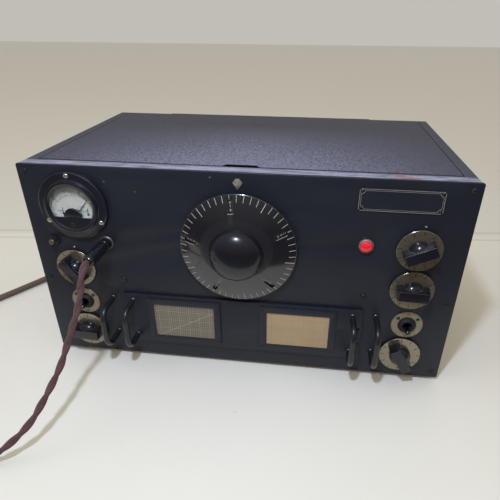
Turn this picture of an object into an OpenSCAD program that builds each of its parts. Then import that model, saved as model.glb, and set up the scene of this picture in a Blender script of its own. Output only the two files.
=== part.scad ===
// Table-top communications receiver with a large worm-drive dial, a plug-in coil set
// and two leads. Millimetres. x runs to the right, y to the back, z up, and z = 0 is
// the table. The front panel faces -y. Heights named *_up are measured from the lower
// edge of the front panel, and proud or reach means forward of its front face.

/* [Cabinet] */
// Width of the front panel
panel_w = 438; // [430:1:460]
// Height of the front panel
panel_h = 224.5; // [221:0.5:240]
// Thickness of the front panel
panel_t = 3; // [2:0.5:4]
// Radius of the front panel's corners
panel_corner_r = 2; // [1:0.5:6]
// Depth of the cabinet from the panel's face to the back
cab_depth = 258; // [245:1:290]
// How far the panel stands outside the cabinet's sides and bottom
cab_inset = 2.5; // [1:0.5:4]
// Thickness of the cabinet's steel sheet
sheet_t = 1.5; // [1:0.1:2]
// Height of the panel's lower edge above the table
foot_h = 4; // [3:0.5:12]
// Radius of a rubber foot
foot_r = 8; // [6:0.5:12]
// Distance of a foot's centre from the cabinet's sides, front and back
foot_inset = 28; // [16:1:60]

/* [Lid] */
// Width of the fixed strip of the top beside the lid
lid_margin = 11.5; // [9:0.5:20]
// Distance of the lid's front edge behind the panel's face
lid_setback = 18.5; // [14:0.5:30]
// Open gap along the lid's front edge
lid_gap = 1.3; // [0.8:0.1:2]
// Open gap along each side of the lid
lid_side_gap = 0.5; // [0.3:0.1:1]
// Clearance between the lid and what it rests on
lid_rest_gap = 0.2; // [0.1:0.05:0.3]
// Width of the ledge that the lid rests on
ledge_w = 6; // [4:0.5:10]
// Width of the finger notch
notch_w = 37; // [25:1:60]
// Depth of the finger notch
notch_d = 6.5; // [4:0.5:10]
// Radius of a hinge knuckle
hinge_r = 2.6; // [2.4:0.1:3.5]
// Radius of the hinge pin
hinge_pin_r = 1.2; // [0.8:0.1:1.4]
// Length of one hinge knuckle
knuckle_l = 40; // [25:1:50]
// Number of hinge knuckles, an odd number
knuckle_n = 7; // [5:2:7]
// Height of the hinge leaf on the cabinet's back
hinge_leaf_h = 16; // [10:1:25]

/* [Main dial] */
// Height of the dial's centre
dial_up = 148; // [140:1:152]
// Radius of the dial's rim
dial_r = 58.2; // [54:0.1:60]
// How far the rim's front edge stands proud
dial_rim_proud = 6.8; // [6:0.1:9]
// Slope of the dial's conical face, in degrees
dial_slope = 19.5; // [15:0.5:24]
// Thickness of the dial's shell
dial_t = 1.6; // [1.2:0.1:2]
// Radius of the big dial knob at its base
dial_knob_r = 27; // [24:0.5:30]
// How far the dial knob's crown stands proud
dial_knob_reach = 35; // [32:0.5:42]
// Number of small windows that show the number ring
window_n = 5; // [5:1:5]
// Width of a dial window
window_w = 4.4; // [3:0.1:6]
// Radius of a window's outer end
window_outer_r = 53.5; // [50:0.1:54.5]
// Radius of a window's inner end
window_inner_r = 41.2; // [37:0.1:44]
// Turn of the first window from the top, in degrees
window_turn = 7.2; // [0:0.1:36]
// Running gap between the dial and the number ring
ring_gap = 0.6; // [0.4:0.1:1]
// Radius of the dial shaft
dial_shaft_r = 3.2; // [2.5:0.1:4]
// Radial running clearance of shafts in their bores
run_gap = 0.05; // [0.02:0.01:0.09]
// Gap between the index pointer's tip and the dial's rim
index_tip_gap = 1.4; // [1.2:0.1:3]
// Length of the index pointer
index_l = 11.3; // [8:0.1:12]
// Width of the index pointer
index_w = 9.2; // [6:0.1:12]
// Thickness of the index pointer
index_t = 1.6; // [1:0.1:2.5]

/* [Meter] */
// Distance of the meter's centre from the panel's left edge
meter_from_edge = 53; // [50:0.5:56]
// Distance of the meter's centre below the panel's top edge
meter_drop = 40.5; // [40:0.5:42]
// Radius of the meter's flange
meter_r = 35.4; // [33:0.1:36]
// How far the flange stands proud
meter_flange_t = 5; // [4:0.1:6]
// Radius of the raised ring
meter_ring_r = 27; // [26.5:0.1:28]
// How far the raised ring stands proud
meter_ring_proud = 9; // [8:0.1:11]
// Radius of the glass window
meter_window_r = 22; // [20:0.1:23]
// Height of the window's flat lower edge below the meter's centre
meter_chord_drop = 10.6; // [9:0.1:12]
// Radius of the can behind the panel
meter_can_r = 27.4; // [27.2:0.1:28]
// Depth of the can behind the panel's face
meter_can_depth = 32; // [26:1:40]
// Pitch radius of the three flange screws
meter_screw_pcr = 31.6; // [30.6:0.1:32]
// Length of the needle from its pivot
needle_l = 24.5; // [20:0.1:26]
// Needle angle above the horizontal at rest, in degrees
needle_rest = 50; // [46:1:134]

/* [Knobs] */
// Distance of both knob columns from the panel's edges
column_from_edge = 43; // [41:0.5:46]
// How far the knobs sit to the left of the columns' middle lines
knob_shift = 2; // [0:0.5:3]
// Height of the lower knobs
low_knob_up = 30.5; // [28:0.5:32]
// Distance of the upper right knob below the panel's top edge
top_knob_drop = 68; // [64:0.5:72]
// Gap between a lower knob's plate and the toggle's plate
column_gap_low = 0.8; // [0.6:0.1:3]
// Gap between a toggle's plate and a middle knob's plate
column_gap_mid = 5.3; // [3:0.1:8]
// Gap between the plates of the middle and the upper right knob
column_gap_top = 1.5; // [1:0.1:4]
// Thickness of a scale plate
scale_t = 0.9; // [0.6:0.1:1.5]
// Gap between a scale plate and the panel
scale_gap = 2.2; // [2.1:0.1:3]
// How far a knob's round boss stays inside its plate
knob_base_inset = 10.5; // [7:0.1:12]
// Height of the dome on a knob's round boss
knob_dome_h = 9.5; // [6:0.1:10]
// How far each end of a knob's bar stays inside its plate
knob_bar_inset = 6; // [4:0.1:8]
// Width of a knob's bar
knob_bar_w = 12; // [9:0.1:13]
// How far a knob's bar stands proud
knob_reach = 15.9; // [15.2:0.1:20]
// Radius of a knob shaft
knob_shaft_r = 3.17; // [2.8:0.01:3.3]
// Radius of the body of a control behind the panel
control_r = 12.5; // [10:0.1:14]
// Depth of the body of a control
control_depth = 15; // [12:0.5:20]
// Outer radius of a toggle's ring plate
toggle_plate_r = 16.2; // [14:0.1:16.5]
// Inner radius of a toggle's ring plate
toggle_hole_r = 9.2; // [9:0.1:11]
// Radius of the toggle's round nut
toggle_nut_r = 8.8; // [8:0.1:8.9]
// Length of a toggle lever in front of its pivot
toggle_lever_l = 15; // [13:0.5:20]
// Tilt of a toggle lever at rest, in degrees below the horizontal
toggle_tilt = 12.5; // [10:0.5:14]

/* [Jack, pilot and meter switch] */
// Distance of the jack from the panel's left edge
jack_from_edge = 80; // [79:0.5:88]
// Distance of the jack and of the meter switch below the meter's centre
jack_drop = 40; // [39:0.5:42]
// Radius of the jack's bezel
jack_r = 7.5; // [6.9:0.1:9]
// Radius of the plug's shank
shank_r = 3.15; // [2.5:0.05:3.2]
// Radius of the plug's shell
plug_r = 6.5; // [5.5:0.1:6.8]
// How far the plug's shell stands proud
plug_reach = 45; // [40:0.5:46]
// Distance of the meter switch from the panel's left edge
switch_from_edge = 23; // [20:0.5:26]
// Distance of the pilot jewel from the right column of knobs
pilot_from_column = 52; // [40:1:60]
// Distance of the pilot jewel below the panel's top edge
pilot_drop = 66.5; // [60:0.5:75]
// Radius of the pilot bezel
pilot_r = 7.2; // [6.5:0.1:9]

/* [Nameplate and screws] */
// Width of the nameplate
nameplate_w = 76.5; // [60:0.5:80]
// Height of the nameplate
nameplate_h = 22.1; // [16:0.1:24]
// Thickness of the nameplate
nameplate_t = 1; // [0.6:0.1:1.5]
// Distance of the nameplate's centre from the right edge
nameplate_from_edge = 69; // [60:0.5:90]
// Distance of the nameplate's centre below the panel's top edge
nameplate_drop = 19.8; // [18:0.1:22]
// Radius of a panel screw's head
screw_head_r = 3.3; // [2.6:0.1:3.6]
// Radius of a panel screw's shank
screw_r = 1.9; // [1.5:0.1:2.1]
// Distance of the edge screws from the panel's sides and top
edge_screw_inset = 7.5; // [6.5:0.1:9]

/* [Coil set] */
// Distance of the coil set's front from the panel's sides
coil_side = 89; // [87:0.5:94]
// Height of the coil set's front
coil_h = 64; // [60:0.5:66]
// Height of the lower edge of the coil set's front
coil_up = 20; // [18:0.5:22]
// Thickness of the coil set's front
coil_front_t = 2.7; // [2:0.1:3.5]
// Overlap of the front over the opening in the panel
coil_lap = 4; // [3:0.5:6]
// Distance of a chart frame's inner edge from the middle
chart_inner = 21.7; // [16:0.1:26]
// Distance of a chart frame's outer edge from the side of the coil set's front
chart_outer = 26.5; // [22:0.1:32]
// Distance of a chart frame from the top and bottom of the coil set's front
chart_rim = 3.65; // [2:0.05:6]
// Width of the border of a chart frame
chart_border = 7.4; // [5:0.1:10]
// Thickness of a chart frame
chart_t = 1.8; // [1.2:0.1:3]
// Gap between two coil cans
can_gap = 3; // [2:0.5:6]
// Room above the coil cans in the panel's opening
can_head_gap = 7.3; // [4:0.1:10]
// Depth of one coil can
can_d = 66; // [50:1:75]

/* [Handles] */
// Radius of the handles' round bar
grip_r = 3.1; // [2.5:0.1:3.8]
// Distance between a handle's two legs
grip_span = 46; // [40:0.5:52]
// How far the bar of a panel handle stands off the panel
grip_reach = 29; // [24:0.5:32]
// How far the bar of a coil handle stands off the coil set's front
coil_grip_reach = 25.5; // [20:0.5:30]
// Radius of a handle's bends
grip_bend_r = 12; // [8:0.5:14]
// Distance of the panel's handles outside the coil set's front
panel_grip_out = 14; // [12:0.5:16]
// Distance of the coil set's handles from the sides of its front
coil_grip_in = 10; // [8:0.5:14]

/* [Inside] */
// Height of the chassis deck's top above the panel's lower edge
deck_up = 90; // [88:0.5:92]
// Distance between the condenser's shaft and the dial shaft
worm_drop = 24.5; // [24.4:0.1:25.5]
// Distance of the condenser's shaft behind the panel
gang_back = 47; // [45:0.5:52]
// Radius of the rotor's plates
rotor_r = 22; // [18:0.5:23]
// Room between the tuning condenser and the jack's body
gang_room = 19; // [14:0.5:30]
// Number of rotor plates in a section
plate_n = 6; // [4:1:6]
// Thickness of a condenser plate
plate_t = 0.8; // [0.6:0.1:1]
// Radius of the worm wheel
wheel_r = 19; // [17:0.1:19]
// Thickness of the worm wheel
wheel_t = 8; // [6:0.5:10]
// Outer radius of the worm's thread
worm_r = 5; // [4.4:0.1:5]
// Radius of a tube's glass
tube_r = 13.5; // [12:0.1:15]
// Height of a tube's glass above its base
tube_glass_h = 62; // [50:1:75]
// Side of a square transformer can
if_can_w = 35; // [30:0.5:38]
// Height of a transformer can
if_can_h = 92; // [70:1:105]

/* [Leads] */
// Diameter of the cloth-covered headphone lead
phone_d = 7; // [6:0.1:7]
// Loops in the headphone lead's coil
phone_loops = 5; // [3:1:5]
// Radius of the outer loop of the headphone lead's coil
phone_loop_r = 46; // [44:0.5:48]
// Diameter of the rubber power cable
power_d = 8; // [7:0.1:8]
// Loops in the power cable's coil
power_loops = 3; // [3:1:3]
// Radius of the outer loop of the power cable's coil
power_loop_r = 48; // [46:0.5:50]
// Distance of the cable gland from the cabinet's side
gland_from_side = 51.5; // [40:0.5:70]
// Height of the cable gland
gland_up = 36; // [30:1:45]
// How far the cable gland and its sleeve stand out behind
gland_reach = 34; // [25:1:40]
// How far the aerial posts stand out behind
post_reach = 12; // [10:0.5:16]

/* [Hidden] */
$fn = 64;

eps = 0.01;
seat = 0.2;             // clearance of a loose seat between fixed pieces

knob_total = dial_knob_reach + cab_depth + post_reach;
pf = dial_knob_reach - knob_total / 2;      // y of the panel's front face
pb = pf + panel_t;                          // y of the panel's back face
yb = pf + cab_depth;                        // y of the cabinet's outer back face
cab_w = panel_w - 2 * cab_inset;
zp = foot_h;                                // z of the panel's lower edge
zt = foot_h + panel_h;                      // z of the top
zb = foot_h + cab_inset;                    // z of the cabinet's underside
deck_z = zp + deck_up;

// Fittings placed from the panel's edges and from each other
column_x = panel_w / 2 - column_from_edge;
top_knob_up = panel_h - top_knob_drop;
scale_r = (top_knob_up - low_knob_up - 2 * toggle_plate_r
    - column_gap_low - column_gap_mid - column_gap_top) / 4;
toggle_up = low_knob_up + scale_r + column_gap_low + toggle_plate_r;
mid_knob_up = toggle_up + toggle_plate_r + column_gap_mid + scale_r;
knob_base_r = scale_r - knob_base_inset;
knob_bar_l = 2 * (scale_r - knob_bar_inset);
meter_x = -panel_w / 2 + meter_from_edge;
meter_up = panel_h - meter_drop;
jack_x = -panel_w / 2 + jack_from_edge;
jack_up = meter_up - jack_drop;
jack_body_r = 9;
switch_x = -panel_w / 2 + switch_from_edge;
pilot_x = column_x - pilot_from_column;
pilot_up = panel_h - pilot_drop;
nameplate_x = panel_w / 2 - nameplate_from_edge;
nameplate_up = panel_h - nameplate_drop;
index_tip_up = dial_up + dial_r + index_tip_gap;
coil_w = panel_w - 2 * coil_side;
panel_grip_x = coil_w / 2 + panel_grip_out;
coil_grip_x = coil_w / 2 - coil_grip_in;
chart_w = coil_w / 2 - chart_outer - chart_inner;
chart_x = chart_inner + chart_w / 2;
chart_h = coil_h - 2 * chart_rim;
gland_x = cab_w / 2 - gland_from_side;
lid_w = cab_w - 2 * lid_margin;

lid_y = pf + lid_setback;                   // y of the lid's front edge
hinge_y = yb + hinge_r + 0.3;
hinge_z = zt - hinge_r;
knuckle_gap = 0.4;
knuckle_pitch = knuckle_l + knuckle_gap;

opening_w = coil_w - 2 * coil_lap;
opening_h = coil_h - 2 * coil_lap;
coil_mid_up = coil_up + coil_h / 2;
coil_gap = 0.3;                             // gap between the coil set's front and the panel
coil_face = pf - coil_gap - coil_front_t;   // y of the coil set's front face

dial_z = zp + dial_up;
gang_z = dial_z - worm_drop;
gang_y = pb + gang_back;
shaft_bore_r = dial_shaft_r + run_gap;
nose_r = dial_shaft_r + 4.8;
box_wall = 3;
box_w = 34;
box_front = gang_y - 26;
box_back = gang_y + 26;
box_base = deck_z;
box_top = dial_z + 14;
section_pitch = (-jack_x - jack_body_r - gang_room - box_w / 2) / 2;
section_l = section_pitch - 3;
gang_w = box_w + 4 * section_pitch;
gang_wall = 2.5;
gang_base = deck_z;
gang_top = gang_z + rotor_r + 5;
gang_hw = rotor_r + 9;                      // half depth of the condenser's frame
plate_pitch = (section_l - 2) / (plate_n + 0.5);

control_gap = 0.3;
nut_t = 1.8;
control_back = 1;

// Each control: x, height and angle of its bar
left_mid = [-column_x - knob_shift, mid_knob_up, -56];
left_low = [-column_x - knob_shift, low_knob_up, -3];
right_top = [column_x - knob_shift, top_knob_up, 25];
right_mid = [column_x - knob_shift, mid_knob_up, -2];
right_low = [column_x - knob_shift, low_knob_up, -59];
controls = [left_mid, left_low, right_top, right_mid, right_low];
toggle_xs = [-column_x, column_x];

grip_z0 = zp + coil_mid_up - 1 - grip_span / 2;
grip_z1 = zp + coil_mid_up - 1 + grip_span / 2;

screw_spots = [for (sx = [-1, 1], up = [edge_screw_inset, panel_h * 0.43, panel_h - edge_screw_inset])
    [sx * (panel_w / 2 - edge_screw_inset), up]];
deck_screw_x = opening_w / 2 + 2;
deck_screw_up = deck_up + 9.7;
deck_spots = [for (sx = [-1, 1]) [sx * deck_screw_x, deck_screw_up]];

// Points of a quarter ellipse from [rx, 0] to [0, ry]
function quarter(rx, ry, n = 14) = [for (i = [0:n]) [rx * cos(90 * i / n), ry * sin(90 * i / n)]];

// Height of the dial's conical face above the panel at radius r
function dial_face(r) = dial_rim_proud + (dial_r - r) * tan(dial_slope);

// A solid of revolution about y, drawn as [radius, proud] points, at x and height up
module turned(x, up) {
    translate([x, pf, zp + up]) rotate([90, 0, 0]) rotate_extrude($fn = 96) children();
}

// A round rod along y at x and height up, from proud p0 to proud p1
module rod(x, up, r, p0, p1, sides = 48) {
    translate([x, pf - p0, zp + up]) rotate([90, 0, 0]) cylinder(h = p1 - p0, r = r, $fn = sides);
}

// A flat outline on the panel, its points as [x, z], from proud p0 to proud p1
module sheet_y(p0, p1) {
    translate([0, pf - p0, 0]) rotate([90, 0, 0]) linear_extrude(p1 - p0) children();
}

module box(x0, x1, y0, y1, z0, z1) {
    translate([x0, y0, z0]) cube([x1 - x0, y1 - y0, z1 - z0]);
}

// A rectangle with round corners about [x, z]
module round_rect(x, z, w, h, r) {
    translate([x, z]) {
        square([w - 2 * r, h], center = true);
        square([w, h - 2 * r], center = true);
        for (sx = [-1, 1], sz = [-1, 1])
            translate([sx * (w / 2 - r), sz * (h / 2 - r)]) circle(r);
    }
}

module front_panel() {
    color("#26272f") sheet_y(-panel_t, 0) difference() {
        round_rect(0, zp + panel_h / 2, panel_w, panel_h, panel_corner_r);
        translate([-opening_w / 2, zp + coil_up + coil_lap]) square([opening_w, opening_h]);
        translate([0, dial_z]) circle(nose_r + seat);
        translate([meter_x, zp + meter_up]) circle(meter_can_r + seat);
        translate([jack_x, zp + jack_up]) circle(jack_r - 2 + seat);
        translate([switch_x, zp + jack_up]) circle(switch_bush_r + seat);
        translate([pilot_x, zp + pilot_up]) circle(pilot_r - 1.4 + seat);
        for (c = controls) translate([c[0], zp + c[1]]) circle(bushing_r + seat);
        for (x = toggle_xs) translate([x, zp + toggle_up]) circle(toggle_bush_r + seat);
        for (s = concat(screw_spots, deck_spots)) translate([s[0], zp + s[1]]) circle(screw_r + seat);
        for (s = small_spots) translate([s[0], zp + s[1]]) circle(small_screw_r + seat);
    }
}

module cabinet_sides() {
    color("#24252c") for (s = [-1, 1])
        translate([s > 0 ? cab_w / 2 - sheet_t : -cab_w / 2, pb, zb + sheet_t])
            cube([sheet_t, cab_depth - panel_t, zt - zb - 2 * sheet_t]);
}

module cabinet_bottom() {
    color("#24252c") box(-cab_w / 2, cab_w / 2, pb, yb, zb, zb + sheet_t);
}

module cabinet_back() {
    color("#24252c") difference() {
        box(-cab_w / 2 + sheet_t, cab_w / 2 - sheet_t, yb - sheet_t, yb,
            zb + sheet_t, zt - sheet_t - lid_rest_gap);
        for (x = post_xs) rod(x, post_up, post_bush_r + seat, -cab_depth - 1, -cab_depth + sheet_t + 1);
        rod(-gland_x, gland_up, gland_thread_r + seat, -cab_depth - 1, -cab_depth + sheet_t + 1);
    }
}

// Front strip and side strips of the top, with the ledge that the lid lies on
module cabinet_top_frame() {
    side_x = lid_w / 2 + lid_side_gap;
    front_y = lid_y - lid_gap;
    color("#2c2e38") {
        difference() {
            box(-cab_w / 2, cab_w / 2, pb, yb, zt - sheet_t, zt);
            box(-side_x, side_x, front_y, yb + 1, zt - sheet_t - 1, zt + 1);
        }
        difference() {
            box(-side_x - ledge_w, side_x + ledge_w, front_y - ledge_w, yb - sheet_t,
                zt - 2 * sheet_t - lid_rest_gap, zt - sheet_t);
            box(-side_x + ledge_w, side_x - ledge_w, lid_y + ledge_w, yb + 1, zt - 10, zt + 1);
            box(-side_x, side_x, front_y, yb + 1, zt - sheet_t - lid_rest_gap, zt + 1);
            box(-notch_w / 2, notch_w / 2, front_y, lid_y + ledge_w + 1, zt - 10, zt + 1);
        }
    }
}

module rubber_feet() {
    color("#1b1b1b") for (sx = [-1, 1], y = [pb + foot_inset, yb - foot_inset])
        translate([sx * (cab_w / 2 - foot_inset), y, 0]) cylinder(h = zb, r1 = foot_r - 1, r2 = foot_r);
}

// A round-headed screw in the panel: its head stands on proud p
module panel_screw(x, up, p, head_r, shank_r) {
    turned(x, up) polygon(concat([[0, -panel_t - 4 - p], [shank_r, -panel_t - 4 - p], [shank_r, p]],
        [for (q = quarter(head_r, head_r * 0.6, 8)) [q[0], p + q[1]]]));
}

meter_screws = [for (a = [90, 210, 330])
    [meter_x + meter_screw_pcr * cos(a), meter_up + meter_screw_pcr * sin(a)]];
plate_screw_inset = 2.6;
nameplate_screws = [for (sx = [-1, 1], sz = [-1, 1])
    [nameplate_x + sx * (nameplate_w / 2 - plate_screw_inset),
     nameplate_up + sz * (nameplate_h / 2 - plate_screw_inset)]];
toggle_screw_r = (toggle_plate_r + toggle_hole_r) / 2;
toggle_screw_turns = [38, 142];
toggle_screws = [for (x = toggle_xs, a = toggle_screw_turns)
    [x + toggle_screw_r * cos(a), toggle_up + toggle_screw_r * sin(a)]];
small_spots = concat(meter_screws, nameplate_screws, toggle_screws);
small_screw_r = 0.9;
small_head_r = 1.9;

// Black screws of the panel, and nickel ones of the meter, the nameplate and the ring plates
module panel_screws() {
    color("#33343b") for (s = concat(screw_spots, deck_spots))
        panel_screw(s[0], s[1], 0, screw_head_r, screw_r);
    color("#b9b6ac") {
        for (s = meter_screws) panel_screw(s[0], s[1], meter_flange_t, small_head_r + 0.8, small_screw_r);
        for (s = nameplate_screws) panel_screw(s[0], s[1], nameplate_t, small_head_r - 0.4, small_screw_r);
        for (s = toggle_screws) panel_screw(s[0], s[1], toggle_plate_t, small_head_r, small_screw_r);
    }
}

// Knuckles along the hinge line: the fixed ones are even, the lid's are odd
module knuckles(first, bore_r) {
    for (i = [first:2:knuckle_n - 1])
        translate([(i - knuckle_n / 2) * knuckle_pitch, hinge_y, hinge_z]) rotate([0, 90, 0]) difference() {
            cylinder(h = knuckle_l, r = hinge_r);
            translate([0, 0, -1]) cylinder(h = knuckle_l + 2, r = bore_r);
        }
}

module lid_hinge() {
    color("#55565c") {
        knuckles(0, hinge_pin_r - eps);
        translate([-knuckle_n / 2 * knuckle_pitch, hinge_y, hinge_z]) rotate([0, 90, 0])
            cylinder(h = knuckle_n * knuckle_pitch - knuckle_gap, r = hinge_pin_r);
        for (i = [0:2:knuckle_n - 1])
            translate([(i - knuckle_n / 2) * knuckle_pitch, yb, hinge_z - hinge_leaf_h])
                cube([knuckle_l, 1.3, hinge_leaf_h]);
    }
}

module lid() {
    color("#2c2e38") {
        difference() {
            box(-lid_w / 2, lid_w / 2, lid_y, yb, zt - sheet_t, zt);
            translate([0, lid_y, zt - 5]) linear_extrude(10)
                polygon([[-notch_w / 2, -1], [notch_w / 2, -1], [notch_w / 2, 0],
                    [notch_w / 2 - 0.6 * notch_d, notch_d], [-notch_w / 2 + 0.6 * notch_d, notch_d],
                    [-notch_w / 2, 0]]);
        }
        difference() {
            for (i = [1:2:knuckle_n - 1])
                translate([(i - knuckle_n / 2) * knuckle_pitch, yb - 1, zt - sheet_t])
                    cube([knuckle_l, hinge_y - yb + 1, sheet_t]);
            translate([-lid_w / 2, hinge_y, hinge_z]) rotate([0, 90, 0])
                cylinder(h = lid_w, r = hinge_pin_r + run_gap);
        }
        knuckles(1, hinge_pin_r + run_gap);
    }
}

chassis_t = 1.5;
apron_side = 9;
apron_rear = 11;
apron_x = cab_w / 2 - apron_side;
apron_back = yb - sheet_t - apron_rear;
tab_w = 14;                                 // tab that a deck screw goes through
tab_t = 2;

// Deck with a cut-out behind the dial, side aprons and a rear apron standing on the bottom
module chassis() {
    color("#8b8d90") {
        box(-apron_x, apron_x, pb + control_back, apron_back, deck_z - chassis_t, deck_z);
        for (s = [-1, 1])
            translate([s > 0 ? apron_x - chassis_t : -apron_x, pb + control_back, zb + sheet_t])
                cube([chassis_t, apron_back - pb - control_back, deck_z - chassis_t - zb - sheet_t]);
        box(-apron_x + chassis_t, apron_x - chassis_t, apron_back - chassis_t, apron_back,
            zb + sheet_t, deck_z - chassis_t);
        for (s = deck_spots) difference() {
            box(s[0] - tab_w / 2, s[0] + tab_w / 2, pb + control_back, pb + control_back + tab_t,
                deck_z, zp + s[1] + tab_w / 2);
            rod(s[0], s[1], screw_r + seat, -panel_t - 2 * tab_t, 0, 24);
        }
    }
}

tray_t = 1.5;
tray_back = pb + can_d + 6;
tray_w = opening_w - 2;
tray_lift = 1.2;
tray_z = zp + coil_up + coil_lap + tray_lift;   // underside of the coil set's tray
can_h = opening_h - tray_lift - tray_t - can_head_gap;
can_pitch = (tray_w - 2 * can_gap) / 4;
can_w = can_pitch - can_gap;
rail_gap = 0.3;
rail_t = 1.5;
rail_in = 7;
contact_block_t = 2.4;
contact_pitch = 9;
contact_w = 2;
strip_t = 3;
strip_y = tray_back + 0.6;                  // front of the contact strip
can_z = tray_z + tray_t;
bay_half = tray_w / 2 + rail_gap + rail_t;

// Two channels that guide the tray, and the strip with spring contacts at the back
module coil_bay() {
    color("#8f9194") for (m = [0, 1]) mirror([m, 0, 0]) {
        box(tray_w / 2 - rail_in, bay_half, pb + 0.5, strip_y, zb + sheet_t, tray_z - rail_gap);
        box(bay_half - rail_t, bay_half, pb + 0.5, strip_y, tray_z - rail_gap, can_z + rail_gap + 3);
    }
    color("#5a3a22") box(-bay_half, bay_half, strip_y, strip_y + strip_t, zb + sheet_t, can_z + can_h);
    color("#b5a46a") for (i = [0:3], j = [-2:2])
        translate([(i - 1.5) * can_pitch + j * contact_pitch, 0, 0])
            box(-contact_w / 2, contact_w / 2, pb + can_d + contact_block_t + rail_gap, strip_y,
                can_z + can_h * 0.55, can_z + can_h * 0.75);
}

// The coil set's front with its two chart frames
module coil_front() {
    frame_z = zp + coil_mid_up;
    color("#26272f") {
        difference() {
            box(-coil_w / 2, coil_w / 2, coil_face, coil_face + coil_front_t,
                zp + coil_up, zp + coil_up + coil_h);
            for (s = coil_holes) rod(s[0], s[1], coil_hole_r, -5, 8, 24);
        }
        for (s = [-1, 1]) sheet_y(pf - coil_face, pf - coil_face + chart_t) difference() {
            round_rect(s * chart_x, frame_z, chart_w, chart_h, 1.2);
            round_rect(s * chart_x, frame_z, chart_w - 2 * chart_border, chart_h - 2 * chart_border, 0.8);
        }
    }
}

coil_hole_r = 1.3;
coil_hole_x = coil_w / 2 - 3;
coil_holes = [[coil_hole_x, coil_mid_up + 8], [coil_hole_x, coil_mid_up - 11]];

module chart_cards() {
    card_w = chart_w - 2 * chart_border - 2 * seat;
    card_h = chart_h - 2 * chart_border - 2 * seat;
    color("#d9c79a") for (s = [-1, 1]) sheet_y(pf - coil_face, pf - coil_face + 0.6)
        round_rect(s * chart_x, zp + coil_mid_up, card_w, card_h, 0.7);
}

// Four shielding cans on the tray that slides into the bay
module coil_cans() {
    color("#9c9ea0") {
        box(-tray_w / 2, tray_w / 2, pf - coil_gap, tray_back, tray_z, tray_z + tray_t);
        for (i = [0:3]) {
            x = (i - 1.5) * can_pitch;
            box(x - can_w / 2, x + can_w / 2, pb, pb + can_d, can_z, can_z + can_h);
            box(x - can_w / 2 + 3, x + can_w / 2 - 3, pb + can_d, pb + can_d + contact_block_t,
                can_z + can_h * 0.5, can_z + can_h * 0.8);
        }
    }
}

grip_foot_t = 1.2;

// A bail of round bar on two feet, standing on the plane y = base
module grip(x, base, reach) {
    leg = reach - grip_bend_r;
    for (s = [-1, 1]) {
        z = s > 0 ? grip_z1 : grip_z0;
        translate([x, base, z]) rotate([90, 0, 0]) {
            cylinder(h = leg, r = grip_r, $fn = 32);
            cylinder(h = grip_foot_t, r1 = grip_r + 2, r2 = grip_r + 1, $fn = 32);
        }
        translate([x, base - leg, z - s * grip_bend_r]) rotate([0, s > 0 ? -90 : 90, 0]) mirror([0, 1, 0])
            rotate_extrude(angle = 90, $fn = 48) translate([grip_bend_r, 0]) circle(grip_r, $fn = 32);
    }
    translate([x, base - reach, grip_z0 + grip_bend_r])
        cylinder(h = grip_z1 - grip_z0 - 2 * grip_bend_r, r = grip_r, $fn = 32);
}

module panel_handles() {
    color("#2b2c33") for (s = [-1, 1]) grip(s * panel_grip_x, pf, grip_reach);
}

module coil_handles() {
    color("#2b2c33") for (s = [-1, 1]) grip(s * coil_grip_x, coil_face, coil_grip_reach);
}

// U-shaped plates of the tuning condenser's frame with its fixed plates
module gang_frame() {
    walls = [for (s = [-1, 1], k = [1, 2]) s * (box_w / 2 + k * section_pitch)];
    stator_r = rotor_r + 3;
    rod_r = 1.6;
    rod_l = section_pitch - gang_wall - seat;
    color("#a9abad") {
        for (s = [-1, 1])
            box(s > 0 ? box_w / 2 + seat : -gang_w / 2, s > 0 ? gang_w / 2 : -box_w / 2 - seat,
                gang_y - gang_hw, gang_y + gang_hw, gang_base, gang_base + 2);
        for (x = walls) difference() {
            box(x - gang_wall / 2, x + gang_wall / 2, gang_y - gang_hw, gang_y + gang_hw,
                gang_base, gang_top);
            translate([x - gang_wall, gang_y, gang_z]) rotate([0, 90, 0])
                cylinder(h = 2 * gang_wall, r = shaft_bore_r);
        }
        for (m = [0, 1]) mirror([m, 0, 0]) for (k = [0, 1]) {
            for (a = [20, -20])
                translate([box_w / 2 + (k + 1) * section_pitch - gang_wall / 2 - rod_l,
                    gang_y + (stator_r + 2) * cos(a), gang_z + (stator_r + 2) * sin(a)])
                    rotate([0, 90, 0]) cylinder(h = rod_l, r = rod_r, $fn = 24);
            for (i = [0:plate_n])
                translate([plate_x(k, i) - plate_t / 2, gang_y, gang_z]) rotate([90, 0, 90])
                    linear_extrude(plate_t) difference() {
                        circle(stator_r + 3);
                        circle(9);
                        translate([-2 * stator_r, -2 * stator_r]) square([2 * stator_r + 1, 4 * stator_r]);
                    }
        }
    }
}

function plate_x(k, i) = box_w / 2 + k * section_pitch + 3 + (i + 0.5) * plate_pitch;

// Shaft, moving plates and worm wheel
module condenser_rotor() {
    color("#b4b6b8") {
        translate([-gang_w / 2 - 3, gang_y, gang_z]) rotate([0, 90, 0])
            cylinder(h = gang_w + 6, r = dial_shaft_r);
        for (m = [0, 1]) mirror([m, 0, 0]) for (k = [0, 1], i = [0:plate_n - 1])
            translate([plate_x(k, i) + plate_pitch / 2 - plate_t / 2, gang_y, gang_z])
                rotate([90, 0, 90]) linear_extrude(plate_t) {
                    intersection() {
                        circle(rotor_r);
                        rotate(-166) translate([-rotor_r - 1, 0]) square([2 * rotor_r + 2, rotor_r + 1]);
                    }
                    circle(dial_shaft_r + 2);
                }
    }
    color("#b5974a") translate([-wheel_t / 2, gang_y, gang_z]) rotate([0, 90, 0]) difference() {
        cylinder(h = wheel_t, r = wheel_r, $fn = 96);
        for (a = [0:9:351]) rotate(a) translate([wheel_r, 0, wheel_t / 2])
            cube([2.4, 1.3, wheel_t + 1], center = true);
    }
}

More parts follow.
